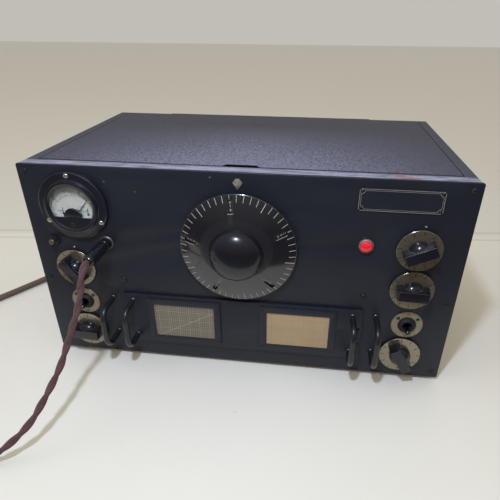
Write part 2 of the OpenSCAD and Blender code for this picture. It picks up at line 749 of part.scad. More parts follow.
// Cast box round the worm wheel, with a nose that carries the dial shaft through the panel
module worm_gearbox() {
    color("#77797c") difference() {
        union() {
            box(-box_w / 2, box_w / 2, box_front, box_back, box_base, box_top);
            translate([0, pf - nose_end, dial_z]) rotate([-90, 0, 0])
                cylinder(h = box_front - pf + nose_end + 1, r = nose_r);
        }
        box(-box_w / 2 + box_wall, box_w / 2 - box_wall, box_front + box_wall, box_back - box_wall,
            box_base + box_wall, box_top - box_wall);
        translate([0, pf - nose_end - 1, dial_z]) rotate([-90, 0, 0])
            cylinder(h = box_back - pf + nose_end + 2, r = shaft_bore_r);
        translate([-box_w, gang_y, gang_z]) rotate([0, 90, 0]) cylinder(h = 2 * box_w, r = shaft_bore_r);
    }
}

web_proud = dial_face(dial_knob_r);         // front of the dial's flat middle
ring_web = web_proud - dial_t - 1.6;        // front of the number ring's flat middle
nose_end = ring_web + 1.2;
shell_v = dial_t / cos(dial_slope);         // the shell's thickness measured along y

module dial_disc() {
    color("#17171b") difference() {
        turned(0, dial_up) polygon([[dial_shaft_r, web_proud], [dial_knob_r, web_proud],
            [dial_r, dial_rim_proud], [dial_r, dial_rim_proud - shell_v],
            [dial_knob_r, web_proud - shell_v], [dial_shaft_r, web_proud - shell_v]]);
        for (i = [0:window_n - 1])
            translate([0, pf, dial_z]) rotate([0, -window_turn - i * 360 / window_n, 0])
                translate([-window_w / 2, -dial_r / 2, window_inner_r])
                    cube([window_w, dial_r, window_outer_r - window_inner_r]);
    }
}

module dial_knob() {
    crown = dial_knob_reach - web_proud;
    flange = 1.4;
    color("#1c1d22") turned(0, dial_up) difference() {
        polygon(concat([[0, web_proud], [dial_knob_r, web_proud]],
            [for (q = quarter(dial_knob_r, crown - flange, 16)) [q[0], web_proud + flange + q[1]]]));
        translate([-1, web_proud - 1]) square([1 + dial_shaft_r, 1 + crown * 0.6]);
    }
}

module dial_shaft() {
    thread_n = 9;
    color("#a8a9ab") {
        rod(0, dial_up, dial_shaft_r, pf - box_back - 3, web_proud + (dial_knob_reach - web_proud) * 0.6);
        for (i = [0:thread_n - 1])
            translate([0, gang_y - 13.5 + i * 3, dial_z]) rotate([-90, 0, 0])
                cylinder(h = 1.5, r1 = worm_r, r2 = worm_r - 0.8);
    }
}

module number_ring() {
    v = 1 / cos(dial_slope);
    top = function(r) dial_face(r) - shell_v - ring_gap;
    bore_r = nose_r + 2 * run_gap;
    hub_l = 5;
    r0 = dial_knob_r + 3;
    r1 = window_outer_r + 1.5;
    color("#202024") turned(0, dial_up) polygon([[bore_r, ring_web - hub_l], [bore_r, ring_web],
        [r0, top(r0)], [r1, top(r1)], [r1, top(r1) - v], [r0, top(r0) - v],
        [nose_r + 4, ring_web - v], [nose_r + 4, ring_web - hub_l]]);
}

index_pin_r = 1.1;
index_pin_gap = 2.7;

// Kite-shaped pointer over the dial, and the two index pins over the outer knobs
module index_pointer() {
    z = zp + index_tip_up;
    color("#c9c3b2") {
        sheet_y(0, index_t) polygon([[0, z], [index_w / 2, z + index_l * 0.66],
            [index_w * 0.2, z + index_l], [-index_w * 0.2, z + index_l], [-index_w / 2, z + index_l * 0.66]]);
        for (c = [left_mid, right_top])
            turned(c[0] + knob_shift, c[1] + scale_r + index_pin_gap)
                polygon([[0, 0], [index_pin_r, 0], [index_pin_r, 0.6], [0, 1]]);
    }
}

module nameplate() {
    notch_r = 1.3;
    color("#202127") sheet_y(0, nameplate_t) difference() {
        translate([nameplate_x, zp + nameplate_up]) square([nameplate_w, nameplate_h], center = true);
        for (sx = [-1, 1], sz = [-1, 1])
            translate([nameplate_x + sx * nameplate_w / 2, zp + nameplate_up + sz * nameplate_h / 2])
                circle(notch_r);
        for (s = nameplate_screws) translate([s[0], zp + s[1]]) circle(small_screw_r + seat);
    }
}

// Flat outline of the meter's window, grown by g
module window_outline(g = 0) {
    intersection() {
        circle(meter_window_r + g);
        translate([-meter_r, -meter_chord_drop - g]) square([2 * meter_r, 2 * meter_r]);
    }
}

meter_lip = 6.4;          // how far the window's inner edge lies proud
meter_pivot_up = meter_up - meter_chord_drop - 0.9;
card_proud = 0.8;

module meter_case() {
    wall = 1.6;
    inner_r = meter_can_r - wall;
    color("#18181c") {
        difference() {
            turned(meter_x, meter_up) polygon([[0, -meter_can_depth], [meter_can_r, -meter_can_depth],
                [meter_can_r, 0], [meter_r, 0], [meter_r, meter_flange_t - 1], [meter_r - 1, meter_flange_t],
                [meter_ring_r + 1, meter_flange_t], [meter_ring_r, meter_flange_t + 1],
                [meter_ring_r, meter_ring_proud - 1], [meter_ring_r - 1, meter_ring_proud],
                [meter_ring_r - 3, meter_ring_proud], [meter_window_r + 0.6, meter_lip + 1.2],
                [0, meter_lip + 1.2]]);
            rod(meter_x, meter_up, inner_r, -meter_can_depth + wall, meter_lip);
            translate([meter_x, pf, zp + meter_up]) rotate([90, 0, 0]) linear_extrude(20) window_outline();
            for (s = meter_screws) rod(s[0], s[1], small_screw_r + seat, -5, meter_flange_t + 1, 24);
        }
        difference() {
            rod(meter_x, meter_up, inner_r, -meter_can_depth + wall, -0.2);
            rod(meter_x, meter_pivot_up, 1.2 + run_gap, -6, 1, 32);
        }
        mask_r = 9.4;
        intersection() {
            rod(meter_x, meter_pivot_up - 2, mask_r, 4.4, meter_lip + 0.5);
            rod(meter_x, meter_up, inner_r + 0.5, 0, 20);
            box(meter_x - 30, meter_x + 30, pf - 20, pf, zp + meter_up - 30, zp + meter_up);
        }
    }
}

module meter_glass() {
    color([0.8, 0.85, 0.88, 0.35]) translate([meter_x, pf - meter_lip - 0.1, zp + meter_up])
        rotate([90, 0, 0]) linear_extrude(1) difference() {
            window_outline(-0.1);
            translate([0, meter_pivot_up - 2 - meter_up]) circle(9.6);
        }
}

module meter_card() {
    color("#e8e4d8") difference() {
        rod(meter_x, meter_up, meter_can_r - 1.8, -0.2, card_proud);
        rod(meter_x, meter_pivot_up, 1.2 + 0.6, -3, 3, 32);
    }
}

module meter_needle() {
    color("#15151a") {
        rod(meter_x, meter_pivot_up, 1.2, -5, 2.8, 32);
        translate([meter_x, pf - 2.2, zp + meter_pivot_up]) rotate([0, -needle_rest, 0])
            translate([-4, -0.4, -0.25]) cube([needle_l + 4, 0.4, 0.5]);
    }
}

module pilot_bezel() {
    bush_r = pilot_r - 1.4;
    bore_r = pilot_r - 2.6;
    color("#b9b4a6") turned(pilot_x, pilot_up) polygon([[bore_r, -panel_t - 8], [bush_r, -panel_t - 8],
        [bush_r, 0], [pilot_r, 0], [pilot_r, 2], [pilot_r - 0.7, 3.2], [pilot_r - 1, 3.2],
        [pilot_r - 1, 1], [bore_r, 1]]);
}

module pilot_jewel() {
    r = pilot_r - 1.2;
    stem_r = r - 1.6;
    color("#d81f2a") turned(pilot_x, pilot_up) polygon(concat([[0, -panel_t - 5], [stem_r, -panel_t - 5],
        [stem_r, 1.2], [r, 1.2]], [for (q = quarter(r, 3.6, 10)) [q[0], 2.2 + q[1]]]));
}

jack_depth = 33;

// Bushing with a bezel nut, and the jack's body behind the panel
module phone_jack() {
    bore = shank_r + run_gap;
    color("#a9a497") difference() {
        union() {
            turned(jack_x, jack_up) polygon([[0, -jack_depth], [jack_r - 2, -jack_depth], [jack_r - 2, 0],
                [jack_r, 0], [jack_r, 1.4], [jack_r - 0.8, 2.2], [0, 2.2]]);
            rod(jack_x, jack_up, jack_body_r, -jack_depth - 1, -panel_t - control_gap);
        }
        rod(jack_x, jack_up, bore, 1 - jack_depth, 5);
    }
}

switch_bush_r = 3.8;
plunger_r = 2;
plunger_depth = 15;
switch_depth = 21;

module meter_switch_bush() {
    color("#3a3b42") difference() {
        union() {
            rod(switch_x, jack_up, switch_bush_r, -panel_t - 6, 3.4);
            rod(switch_x, jack_up, 6, 0, 2.4, 6);
            rod(switch_x, jack_up, 7.5, -switch_depth, -panel_t - control_gap);
        }
        rod(switch_x, jack_up, plunger_r + run_gap, 1 - switch_depth, 5);
    }
}

module meter_switch_plunger() {
    color("#c8c4ba") turned(switch_x, jack_up) polygon([[0, -plunger_depth], [plunger_r, -plunger_depth],
        [plunger_r, 4.4], [plunger_r + 1, 5], [plunger_r + 1, 7.4], [plunger_r, 8.4], [0, 8.6]]);
}

toggle_plate_t = 0.8;
toggle_bush_r = 6;

module toggle_plates() {
    color("#cfc8b4") for (x = toggle_xs) sheet_y(0, toggle_plate_t)
        translate([x, zp + toggle_up]) difference() {
        circle(toggle_plate_r);
        circle(toggle_hole_r);
        for (a = toggle_screw_turns)
            translate([toggle_screw_r * cos(a), toggle_screw_r * sin(a)]) circle(small_screw_r + seat);
    }
}

bushing_r = 4.75;
pivot_r = 3.4;
pivot_bore_r = pivot_r + 2 * run_gap;
pivot_pin_r = 0.7;                          // cross pin that a toggle lever turns on
toggle_pivot = -1.6;      // how far the toggle's pivot lies proud, so a little behind the face
toggle_nut_proud = 4.6;

// Bodies of the five rotary controls and of the two toggles, with their bushings and nuts
module control_bodies() {
    color("#3b3c42") {
        for (c = controls) difference() {
            union() {
                rod(c[0], c[1], control_r, -panel_t - control_depth, -panel_t - control_gap);
                rod(c[0], c[1], bushing_r, -panel_t - 2, nut_t);
                rod(c[0], c[1], 7.6, 0, nut_t, 6);
            }
            rod(c[0], c[1], knob_shaft_r + run_gap, -panel_t - control_depth + 2, 10);
        }
        for (x = toggle_xs) difference() {
            union() {
                box(x - 7.5, x + 7.5, pb + control_gap, pb + 20, zp + toggle_up - 13, zp + toggle_up + 13);
                rod(x, toggle_up, toggle_bush_r, -panel_t - 1, toggle_nut_proud);
                turned(x, toggle_up) polygon([[0, 0], [toggle_nut_r, 0], [toggle_nut_r, 2.8],
                    [toggle_nut_r - 1.6, toggle_nut_proud], [0, toggle_nut_proud]]);
            }
            rod(x, toggle_up, pivot_bore_r, -panel_t - 5, 0.6);
            translate([x, pf + eps, zp + toggle_up]) rotate([90, 0, 0])
                cylinder(h = toggle_nut_proud + 0.1, r1 = pivot_bore_r, r2 = 5.4);
        }
        for (x = toggle_xs) translate([x, pf - toggle_pivot, zp + toggle_up]) rotate([0, 90, 0])
            cylinder(h = 2 * pivot_bore_r + 1, r = pivot_pin_r, center = true, $fn = 24);
    }
}

module toggle_lever(x) {
    tip_r = 2.6;
    color("#8d8c88") translate([x, pf - toggle_pivot, zp + toggle_up]) difference() {
        rotate([90 + toggle_tilt, 0, 0]) {
            sphere(pivot_r);
            cylinder(h = toggle_lever_l - tip_r, r1 = 1.7, r2 = tip_r, $fn = 32);
            translate([0, 0, toggle_lever_l - tip_r]) sphere(tip_r);
        }
        rotate([0, 90, 0])
            cylinder(h = 2 * pivot_r + 1, r = pivot_pin_r + run_gap, center = true, $fn = 24);
    }
}

module left_toggle_lever() { toggle_lever(-column_x); }
module right_toggle_lever() { toggle_lever(column_x); }

// Round scale plate that turns with its knob
module scale_plate(c) {
    color("#cfc8b4") difference() {
        rod(c[0], c[1], scale_r, scale_gap, scale_gap + scale_t, 96);
        rod(c[0], c[1], knob_shaft_r + 0.1, 0, 10);
    }
}

// Knob with a domed round base and a bar whose one end is the pointer, and its shaft
module bar_knob(c) {
    base = scale_gap + scale_t;
    color("#1a1b20") {
        turned(c[0], c[1]) polygon(concat([[0, base], [knob_base_r, base], [knob_base_r, base + 2]],
            [for (q = quarter(knob_base_r, knob_dome_h, 10)) [q[0], base + 2 + q[1]]]));
        translate([c[0], pf - base, zp + c[1]]) rotate([90, 0, 0]) rotate([0, 0, c[2]])
            linear_extrude(knob_reach - base) square([knob_bar_l, knob_bar_w], center = true);
    }
    color("#a8a9ab") rod(c[0], c[1], knob_shaft_r, -panel_t - control_depth + 3, base + eps, 48);
}

module left_mid_scale() { scale_plate(left_mid); }
module left_low_scale() { scale_plate(left_low); }
module right_top_scale() { scale_plate(right_top); }
module right_mid_scale() { scale_plate(right_mid); }
module right_low_scale() { scale_plate(right_low); }
module left_mid_knob() { bar_knob(left_mid); }
module left_low_knob() { bar_knob(left_low); }
module right_top_knob() { bar_knob(right_top); }
module right_mid_knob() { bar_knob(right_mid); }
module right_low_knob() { bar_knob(right_low); }

// Places of the tubes and transformer cans on the deck, as [x, y]
tube_side = 36.5;
tube_rear = 52;
side_tube_in = 34.5;
row_room = 28;
tube_pitch = (cab_w - 2 * tube_side) / 5;
row_y = gang_y + gang_hw + row_room;
tube_spots = [for (i = [0:5]) [(i - 2.5) * tube_pitch, yb - tube_rear],
    for (s = [-1, 1]) [s * (cab_w / 2 - side_tube_in), row_y - gang_hw - 2]];
can_spots = [for (i = [0:4]) [(i - 2) * tube_pitch, row_y]];
tube_base_h = 30;
socket_h = 7;

module transformer_cans() {
    half = if_can_w / 2;
    color("#a7a9ab") for (s = can_spots) {
        box(s[0] - half, s[0] + half, s[1] - half, s[1] + half, deck_z, deck_z + if_can_h);
        translate([s[0], s[1], deck_z + if_can_h]) cylinder(h = 2.2, r = 2.6, $fn = 6);
    }
}

module tube_bases() {
    color("#2a221e") for (s = tube_spots) translate([s[0], s[1], deck_z]) {
        cylinder(h = socket_h, r = tube_r + 6);
        translate([0, 0, socket_h]) cylinder(h = tube_base_h, r = tube_r + 1.5);
    }
}

// Shouldered glass with its grid cap
module tube_glass() {
    shoulder = tube_glass_h * 0.62;
    color([0.75, 0.8, 0.8, 0.5]) for (s = tube_spots) translate([s[0], s[1], deck_z + socket_h + tube_base_h])
        rotate_extrude($fn = 48) polygon([[0, 0], [tube_r - 2, 0], [tube_r, 6], [tube_r, shoulder],
            [tube_r * 0.62, shoulder + 8], [tube_r * 0.58, tube_glass_h - 5], [4.5, tube_glass_h - 1],
            [4.5, tube_glass_h + 6], [0, tube_glass_h + 6]]);
}

post_from_side = 22.5;
post_pitch = 22;
post_xs = [for (i = [2:-1:0]) cab_w / 2 - post_from_side - i * post_pitch];
post_up = 120;
post_bush_r = 4;

module aerial_posts() {
    color("#6d4a2a") for (x = post_xs) {
        rod(x, post_up, 7, -cab_depth - 3, -cab_depth);
        rod(x, post_up, post_bush_r, -cab_depth, -cab_depth + sheet_t + 3);
    }
    color("#b9b4a6") for (x = post_xs) {
        rod(x, post_up, 2.2, -cab_depth - post_reach + 4, -cab_depth - 3);
        rod(x, post_up, 4.6, -cab_depth - post_reach, -cab_depth - post_reach + 4, 24);
    }
}

gland_thread_r = 7;

// Nut, thread and tapered rubber sleeve where the power cable leaves the back
module cable_gland() {
    color("#2a2a2c") translate([-gland_x, yb, zp + gland_up]) rotate([-90, 0, 0]) {
        translate([0, 0, -sheet_t - 4]) cylinder(h = sheet_t + 4, r = gland_thread_r);
        cylinder(h = 7, r = gland_thread_r + 4, $fn = 6);
        translate([0, 0, 7])
            cylinder(h = gland_reach - 7, r1 = gland_thread_r, r2 = power_d / 2 + 0.8, $fn = 48);
    }
}

// Leads
function unit(v) = v / norm(v);
function tangent(p, i) = unit(p[min(i + 1, len(p) - 1)] - p[max(i - 1, 0)]);
function across(v, t) = unit(v - (v * t) * t);

// Cross directions carried along a route without twist
function carried(p) = [for (i = 0, n = across([0.3, 0.2, 1], tangent(p, 0)); i < len(p);
    i = i + 1, n = i < len(p) ? across(n, tangent(p, i)) : n) n];

// One closed tube swept along the route p
module tube(p, r, sides, start = undef, finish = undef) {
    n = carried(p);
    last = len(p) - 1;
    points = [for (i = [0:last])
        let (t = i == 0 && start != undef ? start : i == last && finish != undef ? finish : tangent(p, i),
             a = across(n[i], t), b = cross(t, a))
        for (k = [0:sides - 1]) p[i] + r * (cos(360 * k / sides) * a + sin(360 * k / sides) * b)];
    walls = [for (i = [0:last - 1], k = [0:sides - 1])
        let (a = i * sides + k, b = i * sides + (k + 1) % sides)
        each [[a, a + sides, b], [b, a + sides, b + sides]]];
    end = last * sides;
    caps = [for (k = [1:sides - 2]) each [[0, k, k + 1], [end, end + k + 1, end + k]]];
    polyhedron(points = points, faces = concat(walls, caps), convexity = 10);
}

// A coil wound clockwise from angle a0: in on the lower layer, a climb, out on the upper
coil_steps = 24;
wind_gap = 0.6;
function wound(c, a0, r0, loops, d) = [for (i = [0:loops * coil_steps])
    let (u = i / coil_steps, a = a0 - 360 * u, r = r0 - (d + wind_gap) * min(u, loops - u),
         climb = min(1, max(0, (u - loops / 2 + 0.25) / 0.5)))
    [c[0] + r * cos(a), c[1] + r * sin(a), d / 2 + (d + wind_gap) * climb]];

// Direction in which a coil that starts at angle a0 runs
function heading(a0) = [sin(a0), -cos(a0), 0];

// Level out past the loops and down to the height z of what the coil ends in
function tail(p, a0, d, z) = let (h = heading(a0))
    [for (s = [3 * d, 4.5 * d, 6 * d, 7 * d])
        [p[0] + s * h[0], p[1] + s * h[1], s < 4 * d ? p[2] : s < 5 * d ? (p[2] + z) / 2 : z]];

function coil_route(c, a0, r0, loops, d, z) = let (w = wound(c, a0, r0, loops, d), h = heading(a0))
    concat([w[0] - d * h], w, tail(w[len(w) - 1], a0, d, z));

// Least gap of a wound tube to itself, between points at least half a loop apart
function least_gap(p, d) = min([for (i = [0:len(p) - 1]) for (j = [i + coil_steps / 2:1:len(p) - 1])
    norm(p[i] - p[j])]) - d;

phone_centre = [-310, -240];
phone_a0 = -90;
phone_route = [[-139, -162.5, 148], [-139, -168, 147.5], [-139.5, -174, 142], [-140.5, -178, 133],
    [-142, -182, 121], [-145.5, -188, 106], [-150, -194, 92], [-153, -204, 78], [-155, -216, 66],
    [-158, -229, 56], [-162, -243, 46], [-168, -256, 35], [-178, -267, 25], [-192, -276, 15],
    [-208, -281, 8], [-225, -284, 4], [-243, -286, 3.5], [-262, -286, 3.5], [-281, -286, 3.5],
    [-295, -286, 3.5]];
phone_start = [jack_x, pf - plug_reach, zp + jack_up];
phone_wound = coil_route(phone_centre, phone_a0, phone_loop_r, phone_loops, phone_d, 7);
phone_run = concat([phone_start], [for (i = [1:len(phone_route) - 1]) phone_route[i]], [phone_wound[0]]);

plug_h = 15;              // radius of the power plug, and so the height of its axis
power_centre = [-429, -58];
power_a0 = -33;
power_route = [[-165, 176, 40], [-165, 186, 40], [-166, 197, 35], [-170, 208, 25], [-178, 215, 14],
    [-190, 217, 6], [-205, 213, 4], [-218, 203, 4], [-230, 187, 4], [-241, 168, 4], [-252, 148, 4],
    [-264, 126, 4], [-277, 103, 4], [-290, 80, 4], [-303, 58, 4], [-315, 38, 4], [-326, 20, 4],
    [-337, 2, 4], [-348, -16, 4], [-359, -33, 4], [-370, -49, 4], [-380, -64, 4]];
power_start = [-gland_x, yb + gland_reach, zp + gland_up];
power_wound = coil_route(power_centre, power_a0, power_loop_r, power_loops, power_d, plug_h);
power_run = concat([power_start], [for (i = [1:len(power_route) - 1]) power_route[i]], [power_wound[0]]);
function route_l(p) = len(p) < 2 ? 0 : [for (i = 1, s = norm(p[1] - p[0]); i < len(p);
    i = i + 1, s = s + (i < len(p) ? norm(p[i] - p[i - 1]) : 0)) s][len(p) - 2];

echo(phone_lead_length = route_l(phone_run) + route_l(phone_wound),
    least_gap = least_gap(phone_wound, phone_d));
echo(power_cable_length = route_l(power_run) + route_l(power_wound),
    least_gap = least_gap(power_wound, power_d));

module phone_plug() {
    color("#141416") turned(jack_x, jack_up) polygon([[0, 2.3], [plug_r - 0.6, 2.3], [plug_r, 3],
        [plug_r, plug_reach - 5], [plug_r - 0.8, plug_reach - 1.5], [plug_r - 2.4, plug_reach],
        [0, plug_reach]]);
    color("#b8a15c") rod(jack_x, jack_up, shank_r, -panel_t - 26, 2.3);
}

module phone_lead() {
    color("#5a2730") tube(phone_run, phone_d / 2, 8, start = [0, -1, 0]);
}

module phone_lead_coil() {
    color("#5a2730") tube(phone_wound, phone_d / 2, 6);
}

// In-line connector lying at the end of the headphone lead
module phone_connector() {
    p = phone_wound[len(phone_wound) - 1];
    r = 7;
    neck = 8;
    body = 32;
    pin = 9;
    sunk = 1;
    color("#18181a") translate(p) rotate([0, 0, phone_a0 - 90]) rotate([0, 90, 0]) {
        cylinder(h = neck, r1 = phone_d / 2 + 0.5, r2 = r - 1, $fn = 48);
        translate([0, 0, neck]) cylinder(h = body, r = r, $fn = 48);
        for (s = [-1, 1]) translate([0, s * 2.6, neck + body - sunk])
            cylinder(h = pin + sunk, r = 1.2, $fn = 24);
    }
}

module power_cable() {
    color("#4d3f2f") tube(power_run, power_d / 2, 8, start = [0, 1, 0]);
}

module power_cable_coil() {
    color("#4d3f2f") tube(power_wound, power_d / 2, 6);
}

// Round four-pin plug
module power_plug() {
    p = power_wound[len(power_wound) - 1];
    neck = 12;
    body = 26;
    pin = 13;
    sunk = 1;
    color("#1a1a1c") translate(p) rotate([0, 0, power_a0 - 90]) rotate([0, 90, 0]) {
        cylinder(h = neck, r1 = power_d / 2 + 1, r2 = plug_h - 3, $fn = 48);
        translate([0, 0, neck]) cylinder(h = body, r = plug_h, $fn = 64);
        for (a = [45:90:315]) rotate(a) translate([8, 0, neck + body - sunk])
            cylinder(h = pin + sunk, r = 2, $fn = 24);
    }
}

front_panel();
cabinet_sides();
cabinet_back();
cabinet_bottom();
cabinet_top_frame();
rubber_feet();
panel_screws();
lid_hinge();
lid();
chassis();
coil_bay();
gang_frame();
worm_gearbox();
condenser_rotor();
transformer_cans();
tube_bases();
tube_glass();
aerial_posts();
index_pointer();
panel_handles();
nameplate();
meter_case();
meter_glass();
meter_card();
meter_needle();
pilot_bezel();
pilot_jewel();
phone_jack();
meter_switch_bush();
meter_switch_plunger();
toggle_plates();
control_bodies();
left_toggle_lever();
right_toggle_lever();
dial_disc();
dial_knob();
dial_shaft();
number_ring();
left_mid_scale();
left_low_scale();
right_top_scale();
right_mid_scale();
right_low_scale();
left_mid_knob();
left_low_knob();
right_top_knob();
right_mid_knob();
right_low_knob();
coil_front();
coil_cans();
coil_handles();
chart_cards();
phone_plug();
phone_lead();
phone_lead_coil();
phone_connector();
cable_gland();
power_cable();
power_cable_coil();
power_plug();
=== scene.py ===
# %% [markdown]
# # A communications receiver in its cabinet
# The receiver is a black steel box with a slightly larger front panel. The construction is already
# packed as the frame. Here its bare nodes get their finishes, and the fittings that catch the eye are
# modelled again with finer shapes. Sizes are written in millimetres and become metres at the last moment.

# %% Load the frame
import math
from math import cos, pi, radians, sin

import bmesh
import bpy
from mathutils import Matrix, Vector


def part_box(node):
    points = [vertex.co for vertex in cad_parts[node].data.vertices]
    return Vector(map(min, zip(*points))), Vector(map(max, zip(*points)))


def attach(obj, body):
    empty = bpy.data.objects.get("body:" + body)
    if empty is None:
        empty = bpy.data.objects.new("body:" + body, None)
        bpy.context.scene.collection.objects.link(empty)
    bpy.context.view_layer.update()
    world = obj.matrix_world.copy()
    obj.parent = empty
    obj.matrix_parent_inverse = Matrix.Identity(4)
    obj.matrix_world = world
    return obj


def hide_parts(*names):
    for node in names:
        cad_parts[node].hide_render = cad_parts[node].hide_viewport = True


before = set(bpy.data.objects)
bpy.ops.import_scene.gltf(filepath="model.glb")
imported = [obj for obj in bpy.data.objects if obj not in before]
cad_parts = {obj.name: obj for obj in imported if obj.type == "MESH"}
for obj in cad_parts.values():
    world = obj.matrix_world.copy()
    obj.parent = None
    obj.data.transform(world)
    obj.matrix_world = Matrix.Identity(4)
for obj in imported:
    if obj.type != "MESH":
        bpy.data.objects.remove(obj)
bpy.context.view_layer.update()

MM = 0.001
FACE = -117.5       # y of the front panel's face
FOOT = 4.0          # z of the front panel's lower edge


# %% [markdown]
# ## The camera
# The camera looks down at the front panel from a little to the right of its middle. Its place and its
# three directions were solved from the corners of the cabinet, so they are written down as they came
# out. The small shift says that the picture was cropped off centre.

# %% Camera
def link(thing):
    bpy.context.scene.collection.objects.link(thing)
    return thing


def set_camera():
    right = Vector((0.992237, 0.124278, 0.004459))
    up = Vector((-0.064218, 0.481349, 0.874173))
    forward = Vector((-0.106494, 0.867674, -0.485593))
    data = bpy.data.cameras.new("camera")
    data.lens, data.sensor_width = 32.167, 36
    data.shift_x, data.shift_y = -0.0230, 0.02353
    camera = link(bpy.data.objects.new("camera", data))
    turned_to = Matrix((right, up, -forward)).transposed().to_4x4()
    camera.matrix_world = Matrix.Translation((0.071031, -0.510011, 0.356376)) @ turned_to
    bpy.context.scene.camera = camera
    bpy.context.scene.view_settings.view_transform = "Standard"
    return camera


camera = set_camera()
print("camera stands at", [round(v, 3) for v in camera.location])


# %% [markdown]
# ## Helpers for modelling by operators
# Every operator works on what is selected, so each step first clears the selection. Pieces of the front
# are modelled lying on their backs, with Z towards the reader, and `stand` then puts them on the panel.

# %% Selection helpers
def calm():
    if bpy.context.object and bpy.context.object.mode != "OBJECT":
        bpy.ops.object.mode_set(mode="OBJECT")
    bpy.ops.object.select_all(action="DESELECT")


def take(piece):
    calm()
    piece.select_set(True)
    bpy.context.view_layer.objects.active = piece
    return piece


def edit(piece):
    take(piece)
    bpy.ops.object.mode_set(mode="EDIT")
    return piece


def choose(test):
    """Selects, in edit mode, the faces whose middle and normal pass the test."""
    bpy.ops.mesh.select_mode(type="FACE")
    bpy.ops.mesh.select_all(action="DESELECT")
    mesh = bmesh.from_edit_mesh(bpy.context.object.data)
    for face in mesh.faces:
        face.select = bool(test(face.calc_center_median() / MM, face.normal))
    mesh.select_flush_mode()
    bmesh.update_edit_mesh(bpy.context.object.data)


def faces_up(middle, normal):
    return normal.z > 0.9


def scaled(*values):
    return tuple(v * MM for v in values)


# %% Modelling helpers
def chain(name, points):
    """A chain of edges through the points, drawn by extruding one vertex again and again."""
    calm()
    bpy.ops.mesh.primitive_plane_add(size=0.002, location=(0, 0, 0))
    piece = bpy.context.object
    piece.name = piece.data.name = name
    bpy.ops.object.mode_set(mode="EDIT")
    bpy.ops.mesh.select_mode(type="VERT")
    bpy.ops.mesh.select_all(action="SELECT")
    bpy.ops.mesh.merge(type="CENTER")
    bpy.ops.transform.translate(value=scaled(*points[0]))
    for a, b in zip(points, points[1:]):
        step = scaled(b[0] - a[0], b[1] - a[1], b[2] - a[2])
        bpy.ops.mesh.extrude_vertices_move(TRANSFORM_OT_translate={"value": step})
    return piece


def tidy_shell():
    bpy.ops.mesh.select_all(action="SELECT")
    bpy.ops.mesh.remove_doubles(threshold=0.004 * MM)
    bpy.ops.mesh.normals_make_consistent(inside=False)
    bpy.ops.object.mode_set(mode="OBJECT")


def turned(name, profile, steps=64):
    """A lathe piece: the profile of (radius, height) is spun once round Z."""
    piece = chain(name, [(r, 0, z) for r, z in profile])
    bpy.ops.mesh.select_all(action="SELECT")
    bpy.ops.mesh.spin(steps=steps, angle=2 * pi, center=(0, 0, 0), axis=(0, 0, 1))
    tidy_shell()
    return piece


def plate(name, outline, z0, z1):
    """A flat plate: the outline becomes a face, and the face is extruded to its thickness."""
    piece = chain(name, [(x, y, z0) for x, y in outline])
    bpy.ops.mesh.select_all(action="SELECT")
    bpy.ops.mesh.edge_face_add()
    bpy.ops.mesh.extrude_region_move(TRANSFORM_OT_translate={"value": scaled(0, 0, z1 - z0)})
    tidy_shell()
    return piece


def arc(cx, cy, r, a0, a1, n):
    turns = [radians(a0 + (a1 - a0) * i / n) for i in range(n + 1)]
    return [(cx + r * cos(a), cy + r * sin(a)) for a in turns]


def rounded(w, h, r, n=5):
    """The outline of a rectangle with round corners."""
    x, y = w / 2 - r, h / 2 - r
    return (arc(x, -y, r, -90, 0, n) + arc(x, y, r, 0, 90, n)
            + arc(-x, y, r, 90, 180, n) + arc(-x, -y, r, 180, 270, n))


def dome(r, h, z, n=8):
    """A quarter of an ellipse, from the rim at height z up to the crown."""
    return [(r * cos(pi / 2 * i / n), z + h * sin(pi / 2 * i / n)) for i in range(n + 1)]


def soften(piece, width, segments=2, angle=35):
    take(piece)
    bevel = piece.modifiers.new("Bevel", "BEVEL")
    bevel.width, bevel.segments, bevel.limit_method = width * MM, segments, "ANGLE"
    bevel.angle_limit = radians(angle)
    bpy.ops.object.modifier_apply(modifier=bevel.name)
    return piece


def combine(piece, other, how="DIFFERENCE"):
    """Cuts the other piece out of the first, or welds it on, and removes the other one."""
    take(piece)
    boolean = piece.modifiers.new("Cut", "BOOLEAN")
    boolean.operation, boolean.object, boolean.solver = how, other, "EXACT"
    bpy.ops.object.modifier_apply(modifier=boolean.name)
    bpy.data.objects.remove(other)
    return piece


def copy_of(piece, name):
    twin = piece.copy()
    twin.data = piece.data.copy()
    twin.name = twin.data.name = name
    return link(twin)


def join(pieces, name):
    calm()
    for piece in pieces:
        piece.select_set(True)
    bpy.context.view_layer.objects.active = pieces[0]
    bpy.ops.object.join()
    pieces[0].name = pieces[0].data.name = name
    return pieces[0]


def place(piece, matrix):
    take(piece)
    piece.matrix_world = matrix @ piece.matrix_world
    bpy.ops.object.transform_apply(location=True, rotation=True, scale=True)
    return piece


def shift(piece, x, y, z):
    return place(piece, Matrix.Translation(scaled(x, y, z)))


def swing(piece, turn):
    return place(piece, Matrix.Rotation(radians(turn), 4, "Z"))


def laid_round(piece, x, y, z, turn):
    """Moves a mark out from the middle and then turns it about the middle."""
    return swing(shift(piece, x, y, z), turn)


def coat(piece, *finishes):
    """Gives a piece its finish, or several for its faces to choose from."""
    piece.data.materials.clear()
    for finish in finishes:
        piece.data.materials.append(finish)
    return piece


def stand(piece, x, up, proud=0, turn=0, tilt=0):
    """Stands a piece that was modelled on its back on the panel, turned in its own plane."""
    spot = Matrix.Translation(scaled(x, FACE - proud, FOOT + up))
    facing = Matrix.Rotation(pi / 2, 4, "X")
    return place(piece, spot @ facing @ Matrix.Rotation(radians(tilt), 4, "X")
                 @ Matrix.Rotation(radians(turn), 4, "Z"))


